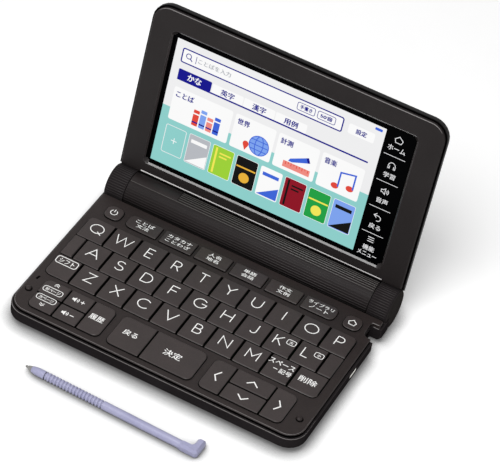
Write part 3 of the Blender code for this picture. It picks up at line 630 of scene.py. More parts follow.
# Legends: pad-printed strokes, a little proud of the key
letterLook = {"height": 5.6, "stroke": 0.47, "lift": 0.02, "sink": 0.02, "raise": 0.6,
              "rows": {"qwertyuiop": 61.44, "asdfghjkl": 46.96, "zxcvbnm": 32.48},
              "badges": {"k": "大", "l": "小"}, "badgeShift": 2.1, "badgeAcross": 5.9, "badgeUp": 1.5,
              "badgeSize": (4.2, 3.0), "badgeCorner": 0.9, "badgeWord": (1.7, 1.7), "badgeStroke": 0.34}
legendLevels = (deck["keyTop"] - letterLook["sink"], deck["keyTop"] + letterLook["lift"])
# Strokes that cross differ in height by a few of these steps, so that they don't share a face. A word's
# second strike stands a share of the film's height above its first
strokeStep = {"height": 0.0004, "count": 17, "strike": 0.06}


def bowl(stem, low, high, reach):
    radius = (high - low) / 2
    turn = arc(reach - radius, low + radius, radius, radius, 90, -90, 10)
    return [(stem, high)] + turn + [(stem, low)]


# Geometric capitals on a height of one, as open lines
letterLines = {
    "a": [[(-0.53, 0), (0, 1), (0.53, 0)], [(-0.35, 0.33), (0.35, 0.33)]],
    "b": [[(-0.32, 0), (-0.32, 1)], bowl(-0.32, 0.53, 1, 0.24), bowl(-0.32, 0, 0.53, 0.33)],
    "c": [arc(0.04, 0.5, 0.54, 0.5, 42, 318, 22)],
    "d": [[(-0.4, 0), (-0.4, 1)], bowl(-0.4, 0, 1, 0.46)],
    "e": [[(0.28, 1), (-0.3, 1), (-0.3, 0), (0.28, 0)], [(-0.3, 0.52), (0.24, 0.52)]],
    "f": [[(0.34, 1), (-0.3, 1), (-0.3, 0)], [(-0.3, 0.5), (0.27, 0.5)]],
    "g": [arc(0, 0.5, 0.54, 0.5, 42, 360, 22) + [(0.1, 0.5)]],
    "h": [[(-0.43, 0), (-0.43, 1)], [(0.43, 0), (0.43, 1)], [(-0.43, 0.52), (0.43, 0.52)]],
    "i": [[(0, 0), (0, 1)]],
    "j": [[(0.22, 1)] + arc(-0.04, 0.27, 0.26, 0.27, 0, -150, 10)],
    "k": [[(-0.3, 0), (-0.3, 1)], [(0.34, 1), (-0.3, 0.38)], [(-0.1, 0.57), (0.38, 0)]],
    "l": [[(-0.26, 1), (-0.26, 0), (0.3, 0)]],
    "m": [[(-0.5, 0), (-0.5, 1), (0, 0.32), (0.5, 1), (0.5, 0)]],
    "n": [[(-0.43, 0), (-0.43, 1), (0.43, 0), (0.43, 1)]],
    "o": [arc(0, 0.5, 0.57, 0.5, 0, 360, 28)],
    "p": [[(-0.28, 0), (-0.28, 1)], bowl(-0.28, 0.42, 1, 0.36)],
    "q": [arc(0, 0.5, 0.57, 0.5, 0, 360, 28), [(0.14, 0.24), (0.54, -0.04)]],
    "r": [[(-0.28, 0), (-0.28, 1)], bowl(-0.28, 0.44, 1, 0.34), [(0.02, 0.44), (0.36, 0)]],
    "s": [arc(0, 0.755, 0.31, 0.245, 28, 268, 14) + arc(0, 0.255, 0.35, 0.255, 88, -152, 14)],
    "t": [[(-0.37, 1), (0.37, 1)], [(0, 1), (0, 0)]],
    "u": [[(-0.42, 1)] + arc(0, 0.42, 0.42, 0.42, 180, 360, 14) + [(0.42, 1)]],
    "v": [[(-0.52, 1), (0, 0), (0.52, 1)]],
    "w": [[(-0.74, 1), (-0.37, 0), (0, 0.96), (0.37, 0), (0.74, 1)]],
    "x": [[(-0.42, 1), (0.42, 0)], [(0.42, 1), (-0.42, 0)]],
    "y": [[(-0.45, 1), (0, 0.5), (0.45, 1)], [(0, 0.5), (0, 0)]],
    "z": [[(-0.38, 1), (0.38, 1), (-0.4, 0), (0.4, 0)]],
}


def keyCentre(name):
    low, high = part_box(name)
    return (low.x + high.x) / 2 / mm, (low.y + high.y) / 2 / mm - deck["front"]


def addStroke(solid, path, stroke, place=deckPlace, levels=legendLevels, slot=0):
    low, high = levels
    high += math.copysign(strokeStep["height"] * (len(solid[1]) % strokeStep["count"]), high - low)
    closed = len(path) > 3 and (Vector(path[0]) - Vector(path[-1])).length < 1e-6
    addRibbon(solid, path[:-1] if closed else path, stroke, low, high, place, slot, closed)


def addWord(solid, text, box, weight=0.12, place=deckPlace, levels=legendLevels, slot=0):
    # box is left, right, low, high in millimetres; the font is the one built into Blender, and it is
    # struck twice, weight apart, to make it bolder
    low, high = levels
    curve = bpy.data.curves.new("word", "FONT")
    curve.body, curve.resolution_u, curve.extrude = text, 3, 0.5
    holder = bpy.data.objects.new("word", curve)
    flat = bpy.data.meshes.new_from_object(holder)
    spots = [v.co.copy() for v in flat.vertices]
    left, right = min(v.x for v in spots), max(v.x for v in spots)
    bottom, top = min(v.y for v in spots), max(v.y for v in spots)
    verts, faces = solid
    for strike in (0, 1):
        start, shift = len(verts), (strike - 0.5) * weight
        rise = (high - low) * strokeStep["strike"] * strike
        for v in spots:
            x = box[0] + (v.x - left) / (right - left) * (box[1] - box[0]) + shift
            y = box[2] + (v.y - bottom) / (top - bottom) * (box[3] - box[2]) + shift / 2
            verts.append(place(x, y, high + rise if v.z > 0 else low))
        faces.extend((tuple(start + i for i in f.vertices), slot) for f in flat.polygons)
    bpy.data.objects.remove(holder)
    bpy.data.curves.remove(curve)
    bpy.data.meshes.remove(flat)


def around(centre, width, height):
    x, y = centre
    return x - width / 2, x + width / 2, y - height / 2, y + height / 2


def moved(path, centre, size=1.0):
    return [(centre[0] + x * size, centre[1] + y * size) for x, y in path]


def ringPath(box, radius):
    edge = rounded(*box, radius)
    return edge + [edge[0]]


def finishLegend(key, solid):
    piece = makePiece("legend_" + key, solid, "key_" + key, [legendInk])


def printLetters():
    look = letterLook
    for row, middle in look["rows"].items():
        for letter in row:
            solid = ([], [])
            across, level = keyCentre("key_" + letter)[0], middle + look["raise"]
            if letter in look["badges"]:
                across -= look["badgeShift"]
                badge = (across + look["badgeAcross"], level + look["badgeUp"])
                ring = ringPath(around(badge, *look["badgeSize"]), look["badgeCorner"])
                addStroke(solid, ring, look["badgeStroke"])
                addWord(solid, look["badges"][letter], around(badge, *look["badgeWord"]))
            for line in letterLines[letter]:
                foot = (across, level - look["height"] / 2)
                addStroke(solid, moved(line, foot, look["height"]), look["stroke"])
            finishLegend(letter, solid)


# The function keys' words, two lines to a key
functionLook = {"lineHeight": 2.15, "levels": (77.3, 74.55), "character": 3.1, "most": 12.6, "weight": 0.06,
                "words": [("ことば", "文法"), ("カタカナ", "ことわざ"), ("人名", "地名"), ("単語", "会話"),
                          ("作文", "文例"), ("ライブラリ", "ノート")]}

# Words and marks on the other keys, by their places on the deck in millimetres: each word with its centre
# and size, then each line's points and width
houseMark = [(0, 1.65), (1.85, 0.1), (1.3, -1.5), (-1.3, -1.5), (-1.85, 0.1), (0, 1.65)]
keyPrints = {
    "power": ([], [(moved(arc(0, -0.15, 1.6, 1.6, 125, 415, 20), (-62.0, 76.0)), 0.4),
                   (moved([(0, 0.1), (0, 1.9)], (-62.0, 76.0)), 0.4)]),
    "home": ([], [(moved(houseMark, (61.7, 75.8)), 0.4)]),
    "shift": ([("シフト", (-63.3, 35.75), (7.6, 2.7))],
              [(ringPath(around((-63.3, 35.75), 10.6, 4.4), 1.3), 0.42)]),
    "space": ([("スペース", (47.05, 35.3), (12.5, 2.8)), ("記号", (50.5, 31.35), (5.8, 2.9))],
              [([(44.6, 31.4), (46.6, 31.4)], 0.42)]),
    "delete": ([("削除", (61.1, 32.8), (8.7, 3.6))], []),
    "enter": ([("決定", (4.0, 13.1), (8.7, 3.8))], []),
    "back": ([("戻る", (-17.6, 13.6), (6.9, 3.4))], []),
    "history": ([("履歴", (-34.7, 13.4), (7.0, 3.3))], []),
}
pageLook = {"across": -59.3, "keys": (("page_up", "前ページ", 16.7, 1), ("page_down", "次ページ", 10.9, -1)),
            "ring": (9.6, 3.2), "corner": 1.2, "word": (7.3, 1.9), "stroke": 0.34, "arrow": 3.1,
            "arrowStep": 0.95, "arrowHalf": 1.1, "arrowRise": 0.85}
volumeLook = {"across": -48.3, "keys": (("volume_up", 17.9), ("volume_down", 8.2)), "waveStroke": 0.36,
              "sign": (-45.6, -43.6), "signStroke": 0.42, "bodyLift": 0.022}
speakerWaves = [arc(0.35, 0, 0.75, 0.75, -50, 50, 6), arc(0.35, 0, 1.4, 1.4, -50, 50, 8)]
speakerBody = [(-1.5, -0.6), (-0.75, -0.6), (0.3, -1.4), (0.3, 1.4), (-0.75, 0.6), (-1.5, 0.6)]
arrowLook = {"stroke": 0.58, "arrows": {"left": [(27.2, 16.1), (25.2, 13.1), (27.2, 10.1)],
                                        "up": [(39.1, 16.6), (41.75, 18.85), (44.4, 16.6)],
                                        "down": [(38.9, 8.95), (41.5, 6.7), (44.1, 8.95)],
                                        "right": [(56.0, 15.6), (58.0, 12.6), (56.0, 9.6)]}}


def printFunctionKeys():
    look = functionLook
    for i, lines in enumerate(look["words"]):
        solid = ([], [])
        name = f"function_{i + 1}"
        for text, level in zip(lines, look["levels"]):
            centre = (keyCentre("key_" + name)[0], level)
            width = min(len(text) * look["character"], look["most"])
            addWord(solid, text, around(centre, width, look["lineHeight"]), look["weight"])
        finishLegend(name, solid)


def printSingleKeys():
    for name, (words, lines) in keyPrints.items():
        solid = ([], [])
        for text, centre, size in words:
            addWord(solid, text, around(centre, *size))
        for path, stroke in lines:
            addStroke(solid, path, stroke)
        finishLegend(name, solid)


def printPageKeys():
    look = pageLook
    for name, text, level, side in look["keys"]:
        solid = ([], [])
        across, stroke = look["across"], look["stroke"]
        addStroke(solid, ringPath(around((across, level), *look["ring"]), look["corner"]), stroke)
        addWord(solid, text, around((across, level), *look["word"]), functionLook["weight"])
        for step in (0, 1):
            foot = level + side * (look["arrow"] + step * look["arrowStep"])
            addStroke(solid, [(across - look["arrowHalf"], foot), (across, foot + side * look["arrowRise"]),
                              (across + look["arrowHalf"], foot)], stroke)
        finishLegend(name, solid)


def printVolumeKeys():
    look = volumeLook
    for name, level in look["keys"]:
        solid = ([], [])
        for line in speakerWaves:
            addStroke(solid, moved(line, (look["across"], level)), look["waveStroke"])
        addPlate(solid, moved(speakerBody, (look["across"], level)), legendLevels[0],
                 deck["keyTop"] + look["bodyLift"], deckPlace)
        left, right = look["sign"]
        addStroke(solid, [(left, level), (right, level)], look["signStroke"])
        if name == "volume_up":
            middle, half = (left + right) / 2, (right - left) / 2
            addStroke(solid, [(middle, level - half), (middle, level + half)], look["signStroke"])
        finishLegend(name, solid)


def printArrowKeys():
    for name, path in arrowLook["arrows"].items():
        solid = ([], [])
        addStroke(solid, path, arrowLook["stroke"])
        finishLegend(name, solid)


for printKeys in (printLetters, printFunctionKeys, printSingleKeys, printPageKeys, printVolumeKeys,
                  printArrowKeys):
    printKeys()
print("legends printed")


# The lit picture: thin layers of even colour over the panel, with made-up cards and covers. A box is left,
# right, low, high, with s up the lid in millimetres; where a box repeats, its sides are measured from each
# copy's left
inkCodes = {"pale": "#F0F0F1", "white": "#FCFCFC", "navy": "#10108C", "teal": "#8FD0CC", "grey": "#B9BCC2",
            "blue": "#3F66D8", "sky": "#7FA4F0", "red": "#E2493A", "rose": "#F08C82", "black": "#141414",
            "gold": "#E8B23C", "wine": "#8E1626", "lime": "#9ED23A", "green": "#22A045", "lemon": "#F4E85A"}
pictureLook = {"page": (-59.74, 45.84, 47.6, 82.7), "shelf": (-59.74, 45.84, 17.6, 47.6), "base": 3.815,
               "step": 0.015, "weight": 0.24, "corner": 0.8, "thin": 0.3, "line": 0.4,
               "clip": (40.6, 44.2, 80.2, 81.5), "clipCorner": 0.3}
searchLook = {"field": (-55.9, 25.6, 72.0, 79.0), "rim": 0.62, "lens": (-52.6, 75.9), "lensRadius": 1.25,
              "handle": [(-51.7, 75.0), (-50.6, 73.9)], "handleStroke": 0.5,
              "cursor": (-48.9, -48.6, 73.6, 77.4), "hint": ("ことばを入力", (-47.6, -31.0, 74.4, 76.9)),
              "buttons": ((3.0, "手書き"), (13.2, "50音")), "button": (0.0, 8.8, 73.6, 77.4),
              "buttonWord": (1.4, 7.4, 74.5, 76.6), "settings": (28.6, 41.5, 73.0, 78.0),
              "settingsWord": ("設定", (32.4, 37.7, 74.2, 76.8))}
tabLook = {"open": (-55.9, -38.8, 63.2, 68.4), "openWord": ("かな", (-50.9, -43.9, 64.0, 67.4)),
           "words": ("英字", "漢字", "用例"), "from": -38.2, "step": 16.2, "tab": (0.0, 15.8, 63.2, 68.0),
           "word": (4.5, 11.3, 64.0, 67.2), "corner": 0.6, "line": (-55.9, 41.5, 62.6, 63.4)}
cardLook = {"cards": ((-55.9, -25.5, "ことば"), (-24.0, -3.3, "世界"), (-1.8, 18.9, "計測"),
                      (20.4, 41.5, "音楽")),
            "levels": (41.6, 58.9), "corner": 1.0, "inset": 1.5, "character": 3.0,
            "wordLevels": (54.0, 57.1), "weight": 0.3}
bookLook = {"books": (("red", -44.2, 51.6), ("sky", -40.6, 52.8), ("rose", -37.0, 50.6),
                      ("blue", -33.4, 52.2)),
            "thick": 3.0, "foot": 43.4, "corner": 0.3, "labelDown": (2.4, 1.7), "band": (44.8, 45.5)}
globeLook = {"centre": (-9.9, 47.6), "radius": 4.9, "meridian": 2.0, "parallel": (2.4, 4.2),
             "pin": arc(-16.3, 46.0, 1.5, 1.5, -20, 200, 12) + [(-16.3, 42.6)]}
ruleLook = {"body": (3.0, 16.6, 43.2, 46.4), "marks": 9, "from": 4.2, "step": 1.4, "wide": 0.35,
            "long": 1.7, "short": 1.0,
            "pencil": [(6.0, 48.4), (14.6, 52.6), (15.8, 50.2), (7.2, 46.9), (5.3, 46.9)],
            "cap": [(13.5, 52.1), (14.6, 52.6), (15.8, 50.2), (14.7, 49.7)]}
noteLook = {"heads": ((29.4, 45.0), (36.6, 46.4)), "head": (1.9, 1.5), "stroke": 0.8,
            "stems": [(30.9, 45.0), (30.9, 52.6), (38.1, 54.0), (38.1, 46.4)]}
shelfLook = {"empty": (-55.6, -45.2, 24.0, 38.6), "plusStroke": 0.35,
             "plus": ([(-51.9, 31.3), (-48.9, 31.3)], [(-50.4, 29.8), (-50.4, 32.8)]),
             "covers": (("grey", "white"), ("lime", "lemon"), ("black", "gold"), ("white", "blue"),
                        ("wine", "black"), ("green", "lemon"), ("sky", "black")),
             "from": -55.75, "step": 12.42, "rim": (-0.2, 10.8, 23.6, 39.0), "rimCorner": 0.8,
             "cover": (0.0, 10.6, 23.8, 38.8), "coverCorner": 0.7}
# each design's boxes and outlines: a bar over a disc, a bar over a wedge, and a spine beside two lines
coverDesigns = (([(0.4, 10.2, 33.2, 34.0)], [disc(5.3, 28.6, 2.6, 2.6, 20)]),
                ([(1.2, 9.4, 34.6, 36.4)], [[(0.2, 24.2), (10.4, 24.2), (10.4, 30.6)]]),
                ([(1.4, 2.4, 24.6, 38.0), (3.6, 9.4, 35.2, 36.0), (3.6, 7.6, 33.4, 34.2)], []))


def shifted(box, by):
    left, right, low, high = box
    return left + by, right + by, low, high


def buildPicture():
    picture = pictureLook
    names = list(inkCodes)
    inks = [litPixels("litCells_" + name, code) for name, code in inkCodes.items()]
    solid = ([], [])

    def levels(layer):
        return picture["base"], picture["base"] - picture["step"] * (layer + 1)

    def shape(points, ink, layer):
        addPlate(solid, points, *levels(layer), lidPlace, names.index(ink))

    def block(box, ink, layer, radius=0.0):
        left, right, low, high = box
        square = [(left, low), (right, low), (right, high), (left, high)]
        shape(rounded(*box, radius) if radius else square, ink, layer)

    def line(path, stroke, ink, layer):
        addStroke(solid, path, stroke, lidPlace, levels(layer), names.index(ink))

    def word(text, box, ink, layer, weight=picture["weight"]):
        addWord(solid, text, box, weight, lidPlace, levels(layer), names.index(ink))

    block(picture["page"], "pale", 0)
    block(picture["shelf"], "teal", 0)
    block(picture["clip"], "blue", 1, picture["clipCorner"])

    # the search field with its lens, hint and buttons
    look, corner = searchLook, picture["corner"]
    block(look["field"], "white", 1, corner)
    line(ringPath(look["field"], corner), look["rim"], "navy", 2)
    line(arc(*look["lens"], look["lensRadius"], look["lensRadius"], 0, 360, 16), picture["line"], "navy", 2)
    line(look["handle"], look["handleStroke"], "navy", 2)
    block(look["cursor"], "navy", 2)
    word(*look["hint"], "grey", 2)
    for left, text in look["buttons"]:
        line(ringPath(shifted(look["button"], left), corner), picture["thin"], "navy", 2)
        word(text, shifted(look["buttonWord"], left), "navy", 2)
    block(look["settings"], "white", 1, corner)
    word(*look["settingsWord"], "navy", 2)

    # tabs on a navy line, the first one open
    look = tabLook
    block(look["open"], "navy", 1, look["corner"])
    word(*look["openWord"], "white", 2)
    for i, text in enumerate(look["words"]):
        left = look["from"] + i * look["step"]
        block(shifted(look["tab"], left), "white", 1, look["corner"])
        word(text, shifted(look["word"], left), "navy", 2)
    block(look["line"], "navy", 2)

    # four cards: books, a globe with a pin, a rule with a pencil, and a note
    look = cardLook
    for left, right, text in look["cards"]:
        block((left, right, *look["levels"]), "white", 1, look["corner"])
        start = left + look["inset"]
        sides = (start, start + look["character"] * len(text))
        word(text, (*sides, *look["wordLevels"]), "navy", 2, look["weight"])
    look = bookLook
    for ink, left, high in look["books"]:
        sides = (left, left + look["thick"])
        block((*sides, look["foot"], high), ink, 2, look["corner"])
        block((*sides, *(high - down for down in look["labelDown"])), "white", 3)
        block((*sides, *look["band"]), "navy", 3)
    look = globeLook
    (x, s), radius = look["centre"], look["radius"]
    shape(disc(x, s, radius, radius, 28), "sky", 2)
    for across in (look["meridian"], radius):
        line(arc(x, s, across, radius, 0, 360, 24), picture["line"], "blue", 3)
    rise, short = look["parallel"]
    for up, half in ((-rise, short), (0.0, radius), (rise, short)):
        line([(x - half, s + up), (x + half, s + up)], picture["line"], "blue", 3)
    shape(look["pin"], "red", 3)
    look = ruleLook
    block(look["body"], "rose", 2)
    top = look["body"][-1]
    for i in range(look["marks"]):
        left = look["from"] + i * look["step"]
        block((left, left + look["wide"], top - look["short" if i % 2 else "long"], top), "red", 3)
    shape(look["pencil"], "blue", 2)
    shape(look["cap"], "navy", 3)
    look = noteLook
    for x, s in look["heads"]:
        shape(disc(x, s, *look["head"], 16), "red", 2)
    line(look["stems"], look["stroke"], "blue", 3)

    # a shelf of plain covers in three designs, after an empty place
    look = shelfLook
    line(ringPath(look["empty"], corner), picture["thin"], "pale", 1)
    for path in look["plus"]:
        line(path, look["plusStroke"], "white", 1)
    for i, (first, second) in enumerate(look["covers"], 1):
        left = look["from"] + i * look["step"]
        block(shifted(look["rim"], left), "white", 1, look["rimCorner"])
        block(shifted(look["cover"], left), first, 2, look["coverCorner"])
        boxes, outlines = coverDesigns[i % len(coverDesigns)]
        for box in boxes:
            block(shifted(box, left), second, 3)
        for outline in outlines:
            shape(moved(outline, (left, 0)), second, 3)
    piece = makePiece("display_picture", solid, "lid", inks)


# Touch keys down the right of the display: each mark's lines, its height up the lid and its size
stripLook = {"middle": 52.6, "stroke": 0.34, "thick": 0.03, "character": (2.85, 2.7), "weight": 0.1,
             "lines": (71.2, 57.4, 43.6, 29.9), "lineHalf": 5.3, "lineStroke": 0.26,
             "words": (("ホーム", 75.2), ("学習", 61.2), ("音声", 47.6), ("戻る", 33.7), ("機能", 22.0)),
             "lastWord": ("メニュー", 18.7, 9.4, 2.4)}
speakerOutline = [(-1.5, -0.55), (-0.75, -0.55), (0.25, -1.35), (0.25, 1.35), (-0.75, 0.55), (-1.5, 0.55),
                  (-1.5, -0.55)]
stripMarks = [
    ([houseMark], 79.9, 1.05),
    ([arc(0, -0.3, 1.7, 1.9, 0, 180, 14), [(-1.7, -0.3), (-1.7, -1.5), (-1.0, -1.5), (-1.0, -0.2)],
      [(1.7, -0.3), (1.7, -1.5), (1.0, -1.5), (1.0, -0.2)]], 66.4, 1.0),
    ([speakerOutline, *speakerWaves], 52.8, 1.1),
    ([[(-0.4, 2.1), (-1.7, 1.0), (-0.4, -0.1)], [(-1.7, 1.0)] + arc(0.4, -0.35, 1.35, 1.35, 90, -110, 12)],
     38.6, 1.0),
    ([[(-1.5, step), (1.5, step)] for step in (-1.1, 0.0, 1.1)], 26.6, 1.0),
]


def buildStrip():
    look = stripLook
    middle, half, weight = look["middle"], look["lineHalf"], look["weight"]
    wide, tall = look["character"]
    levels = (pictureLook["base"], pictureLook["base"] - look["thick"])
    solid = ([], [])
    for lines, level, size in stripMarks:
        for path in lines:
            addStroke(solid, moved(path, (middle, level), size), look["stroke"], lidPlace, levels)
    for text, level in look["words"]:
        addWord(solid, text, around((middle, level), wide * len(text), tall), weight, lidPlace, levels)
    text, level, width, height = look["lastWord"]
    addWord(solid, text, around((middle, level), width, height), weight, lidPlace, levels)
    for level in look["lines"]:
        line = [(middle - half, level), (middle + half, level)]
        addStroke(solid, line, look["lineStroke"], lidPlace, levels)
    piece = makePiece("display_strip", solid, "lid", [litPixels("litCells_mark", "#E4E4E6")])


buildPicture()
buildStrip()
print("display lit")


# The barrel's moulded ribs, which run along it and stop at a bare plate on its left; angles in degrees.
# The ribs above paleFrom are painted paler, a painted highlight along the barrel's top
ribLook = {"pitch": 7.2, "width": 2.6, "crest": 1.3, "proud": 0.12, "first": -18.0, "last": 106.0,
           "left": -63.1, "right": 63.1, "sleeveGap": 63.9, "sleeveEnd": 72.6, "paleFrom": 68.0, "root": 0.05,
           "endRun": 0.15, "endRise": 0.01}
plateLook = {"right": -38.5, "low": 70.0, "steps": 16, "proud": 0.05, "root": 0.06, "leftRun": 0.1,
             "rightRun": (0.5, 0.4)}


def addRib(solid, left, right, angle, look, slot=0):
    # a ridge with sloping sides and ends
    radius, half, crest, root = hinge["radius"], look["width"] / 2, look["crest"] / 2, ribLook["root"]
    run, low, high = ribLook["endRun"], ribLook["endRise"], look["proud"]
    rings = []
    for x, rise in ((left, low), (left + run, high), (right - run, high), (right, low)):
        section = ((-half, -root), (-half, 0.0), (-crest, rise), (crest, rise), (half, 0.0), (half, -root))
        rings.append([barrelPlace(x, angle + turn, radius + height) for turn, height in section])
    addLoft(solid, rings, slot)


def buildRibs():
    look = ribLook
    middle, sleeves = ([], []), ([], [])
    angle = look["first"]
    while angle <= look["last"]:
        left = plateLook["right"] if angle > plateLook["low"] else look["left"]
        addRib(middle, left, look["right"], angle, look, 1 if angle > look["paleFrom"] else 0)
        for side in (-1, 1):
            ends = sorted((side * look["sleeveGap"], side * look["sleeveEnd"]))
            addRib(sleeves, *ends, angle, look)
        angle += look["pitch"]
    surfaces = [plastics["mouldedAbsRibs"], plastics["paleRibsPaintedHighlight"]]
    for name, solid, body in (("barrel_ribs", middle, "lid"), ("knuckle_ribs", sleeves, "base")):
        piece = makePiece(name, solid, body, surfaces, smooth=40)


def buildPlate():
    # the bare plate, a smooth panel a little lighter than the barrel
    look = plateLook
    left, right, low, high = ribLook["left"], look["right"], look["low"], ribLook["last"]
    angles = [low + (high - low) * i / look["steps"] for i in range(look["steps"] + 1)]
    proud, (crest, foot) = look["proud"], look["rightRun"]
    rings = []
    for x, rise in ((left, 0.0), (left + look["leftRun"], proud), (right - crest, proud),
                    (right - foot, 0.0)):
        rings.append([barrelPlace(x, a, hinge["radius"] + rise) for a in angles]
                     + [barrelPlace(x, a, hinge["radius"] - look["root"]) for a in reversed(angles)])
    solid = ([], [])
    addLoft(solid, rings)
    piece = makePiece("barrel_plate", solid, "lid", [plastics["mouldedAbsRibs"]], smooth=30)


# Smooth caps close the outer ends of the two hinge sleeves, in a paler plastic: painted light on end
# faces that the lamp hardly reaches
capLook = {"from": 73.3, "to": 73.5, "radius": 9.2, "chamfer": 0.12, "sides": 64}


def buildCaps():
    look = capLook
    cut, turns = look["chamfer"], [2 * math.pi * i / look["sides"] for i in range(look["sides"])]
    for word, side in (("left", -1), ("right", 1)):
        solid = ([], [])
        rings = []
        for x, radius in ((look["from"], look["radius"]), (look["to"] - cut, look["radius"]),
                          (look["to"], look["radius"] - cut)):
            rings.append([(side * x, hinge["y"] + radius * math.cos(a), hinge["z"] + radius * math.sin(a))
                          for a in turns])
        addLoft(solid, rings)
        piece = makePiece("hinge_cap_" + word, solid, "base", [plastics["paleCapsPaintedLight"]], smooth=30)


# Lid trim: a fine pale line under the window, wider to the left, which is a painted highlight on the bezel's
# lower edge, and the polished bevel round the window.
# Each ring of the bevel is taken from the bezel's face or back: how far it stands outside the window's
# opening, and how deep it lies
chinLook = {"rise": 10.45, "widths": ((-62.4, 0.6), (-20.8, 0.48), (63.0, 0.42)), "proud": 0.04, "root": 0.05}
windowLook = {"left": -61.15, "right": 60.25, "low": 16.5, "high": 84.9, "corner": 0.8, "gasket": 2,
              "rings": (("bezelFace", 1.54, 0.02), ("bezelFace", 1.44, -0.05), ("bezelFace", 0.66, 0.62),
                        ("bezelBack", -0.06, -0.08), ("bezelBack", 0.5, -0.04), ("bezelFace", 1.44, 0.4))}


def buildLidTrim():
    look = chinLook
    face = lidDepth["bezelFace"]
    solid = ([], [])
    rings = []
    for x, width in look["widths"]:
        section = ((-1, look["root"]), (-1, -look["proud"]), (1, -look["proud"]), (1, look["root"]))
        rings.append([lidPlace(x, look["rise"] + up * width / 2, face + depth) for up, depth in section])
    addLoft(solid, rings)
    piece = makePiece("lid_chin_line", solid, "lid", [chinPaintedHighlight])

    look = windowLook
    solid = ([], [])
    rings = []
    for base, grow, depth in look["rings"]:
        edge = rounded(look["left"] - grow, look["right"] + grow, look["low"] - grow, look["high"] + grow,
                       look["corner"] + max(grow, 0.0))
        rings.append([lidPlace(x, s, lidDepth[base] + depth) for x, s in edge])
    addLoft(solid, rings, looped=True)
    # the faces that follow the gasket's ring stay black
    count, first = len(rings[0]), look["gasket"] * len(rings[0])
    solid[1][first:first + count] = [(face, 1) for face, _ in solid[1][first:first + count]]
    piece = makePiece("window_bevel", solid, "lid", [polished["polishedAbsBevel"], darkRecess], smooth=30)


# Painted highlights: fine pale lines along edges where they would catch the light, and painted shade: dark
# strips in the seams between mouldings. The base's run round its front, and the lid's round its far edge
edgeLook = {"front": {"half": 72.5, "near": 0.4, "corner": 7.6, "level": 8.4, "width": 0.18},
            "rim": {"half": 73.72, "near": -0.82, "corner": 8.72, "level": 6.5, "width": 0.36},
            "sideWidth": 0.05, "reach": 16.0, "root": 0.03, "proud": 0.012, "middles": (-30.0, 0.0, 30.0),
            "notchWidth": 0.42, "notch": (([(69.1, 81.2), (69.5, 81.6), (72.4, 81.6)], 8.4),
                                          ([(70.0, 81.26), (72.7, 81.26)], 6.5)),
            "lid": {"half": 72.7, "far": 95.55, "corner": 7.7, "width": 0.38, "turn": 50.0, "thinnest": 0.08,
                    "fade": 2.4},
            "seam": {"half": 73.3, "far": 96.16, "corner": 8.3, "near": 12.0, "width": 0.56},
            "gap": {"half": 72.9, "corner": 8.0, "low": 6.84, "high": 7.95, "reach": 71.0, "width": 0.05}}


def buildEdgeLines():
    root, proud, thin, middles = (edgeLook[k] for k in ("root", "proud", "sideWidth", "middles"))
    solid = ([], [])
    # pale lines round the deck's front edge, the rim and the notch: painted highlights
    for look in (edgeLook["front"], edgeLook["rim"]):
        half, near, corner = look["half"], look["near"], look["corner"]
        path = borderPath(half, near, corner, corner, 10, middles, reach=edgeLook["reach"])
        widths = [thin + (look["width"] - thin) * max(0.0, 1 - (y - near) / corner) for _, y in path]
        addRibbon(solid, path, widths, look["level"] - root, look["level"] + proud, deckPlace)
    for path, level in edgeLook["notch"]:
        addRibbon(solid, path, edgeLook["notchWidth"], level - root, level + proud, deckPlace)
    piece = makePiece("base_edge_lines", solid, "base", [plastics["paleEdgesPaintedHighlight"]])

    # a black strip down the gap between the deck and the rim: painted shade
    look = edgeLook["gap"]
    solid = ([], [])
    path = borderPath(look["half"], 0.0, look["corner"], look["corner"], 12, reach=look["reach"])
    addRibbon(solid, path, look["width"], look["low"], look["high"], deckPlace)
    piece = makePiece("base_seam", solid, "base", [darkRecess])

    # a pale line along the bezel's far edge: a painted highlight
    look = edgeLook["lid"]
    half, far, corner, face = look["half"], look["far"], look["corner"], lidDepth["bezelFace"]
    solid = ([], [])
    path = borderPath(half, far, corner, -corner, 8, middles, look["turn"])
    widths = [look["width"] * max(look["thinnest"], 1 - (far - s) / corner * look["fade"]) for _, s in path]
    addRibbon(solid, path, widths, face + root, face - proud, lidPlace)
    piece = makePiece("lid_edge_line", solid, "lid", [plastics["paleEdgesPaintedHighlight"]])

    # a black strip on the cover's rim beside the bezel: painted shade in the seam
    look = edgeLook["seam"]
    back = lidDepth["panelFace"]
    solid = ([], [])
    path = borderPath(look["half"], look["far"], look["corner"], -look["corner"], 12, reach=look["near"])
    addRibbon(solid, path, look["width"], back + root, back - proud, lidPlace)
    piece = makePiece("lid_seam", solid, "lid", [darkRecess])


# Two blank caps fill the second row, as high as the keys beside them
blankLook = {"edges": ((-69.37, -63.58), (61.92, 68.47)), "front": 39.80, "back": 53.62, "slope": 0.4,
             "drop": 0.4, "chamfer": 0.3, "skin": 0.015, "foot": 8.45, "corner": 0.5, "topCorner": 0.35}


def buildBlanks():
    look = blankLook
    skin, cut, front, back = look["skin"], look["chamfer"], look["front"], look["back"]
    levels = (look["foot"], deck["keyTop"] - look["drop"] + skin, deck["keyTop"] + skin)
    solid = ([], [])
    for left, right in look["edges"]:
        body = rounded(left - skin, right + skin, front - skin, back + skin, look["corner"])
        top = rounded(left + cut, right - cut, front + look["slope"], back - cut, look["topCorner"])
        addLoft(solid, [[deckPlace(x, y, level) for x, y in outline]
                        for outline, level in zip((body, body, top), levels)])
    piece = makePiece("blank_caps", solid, "base", [plastics["mouldedAbsKeys"]])


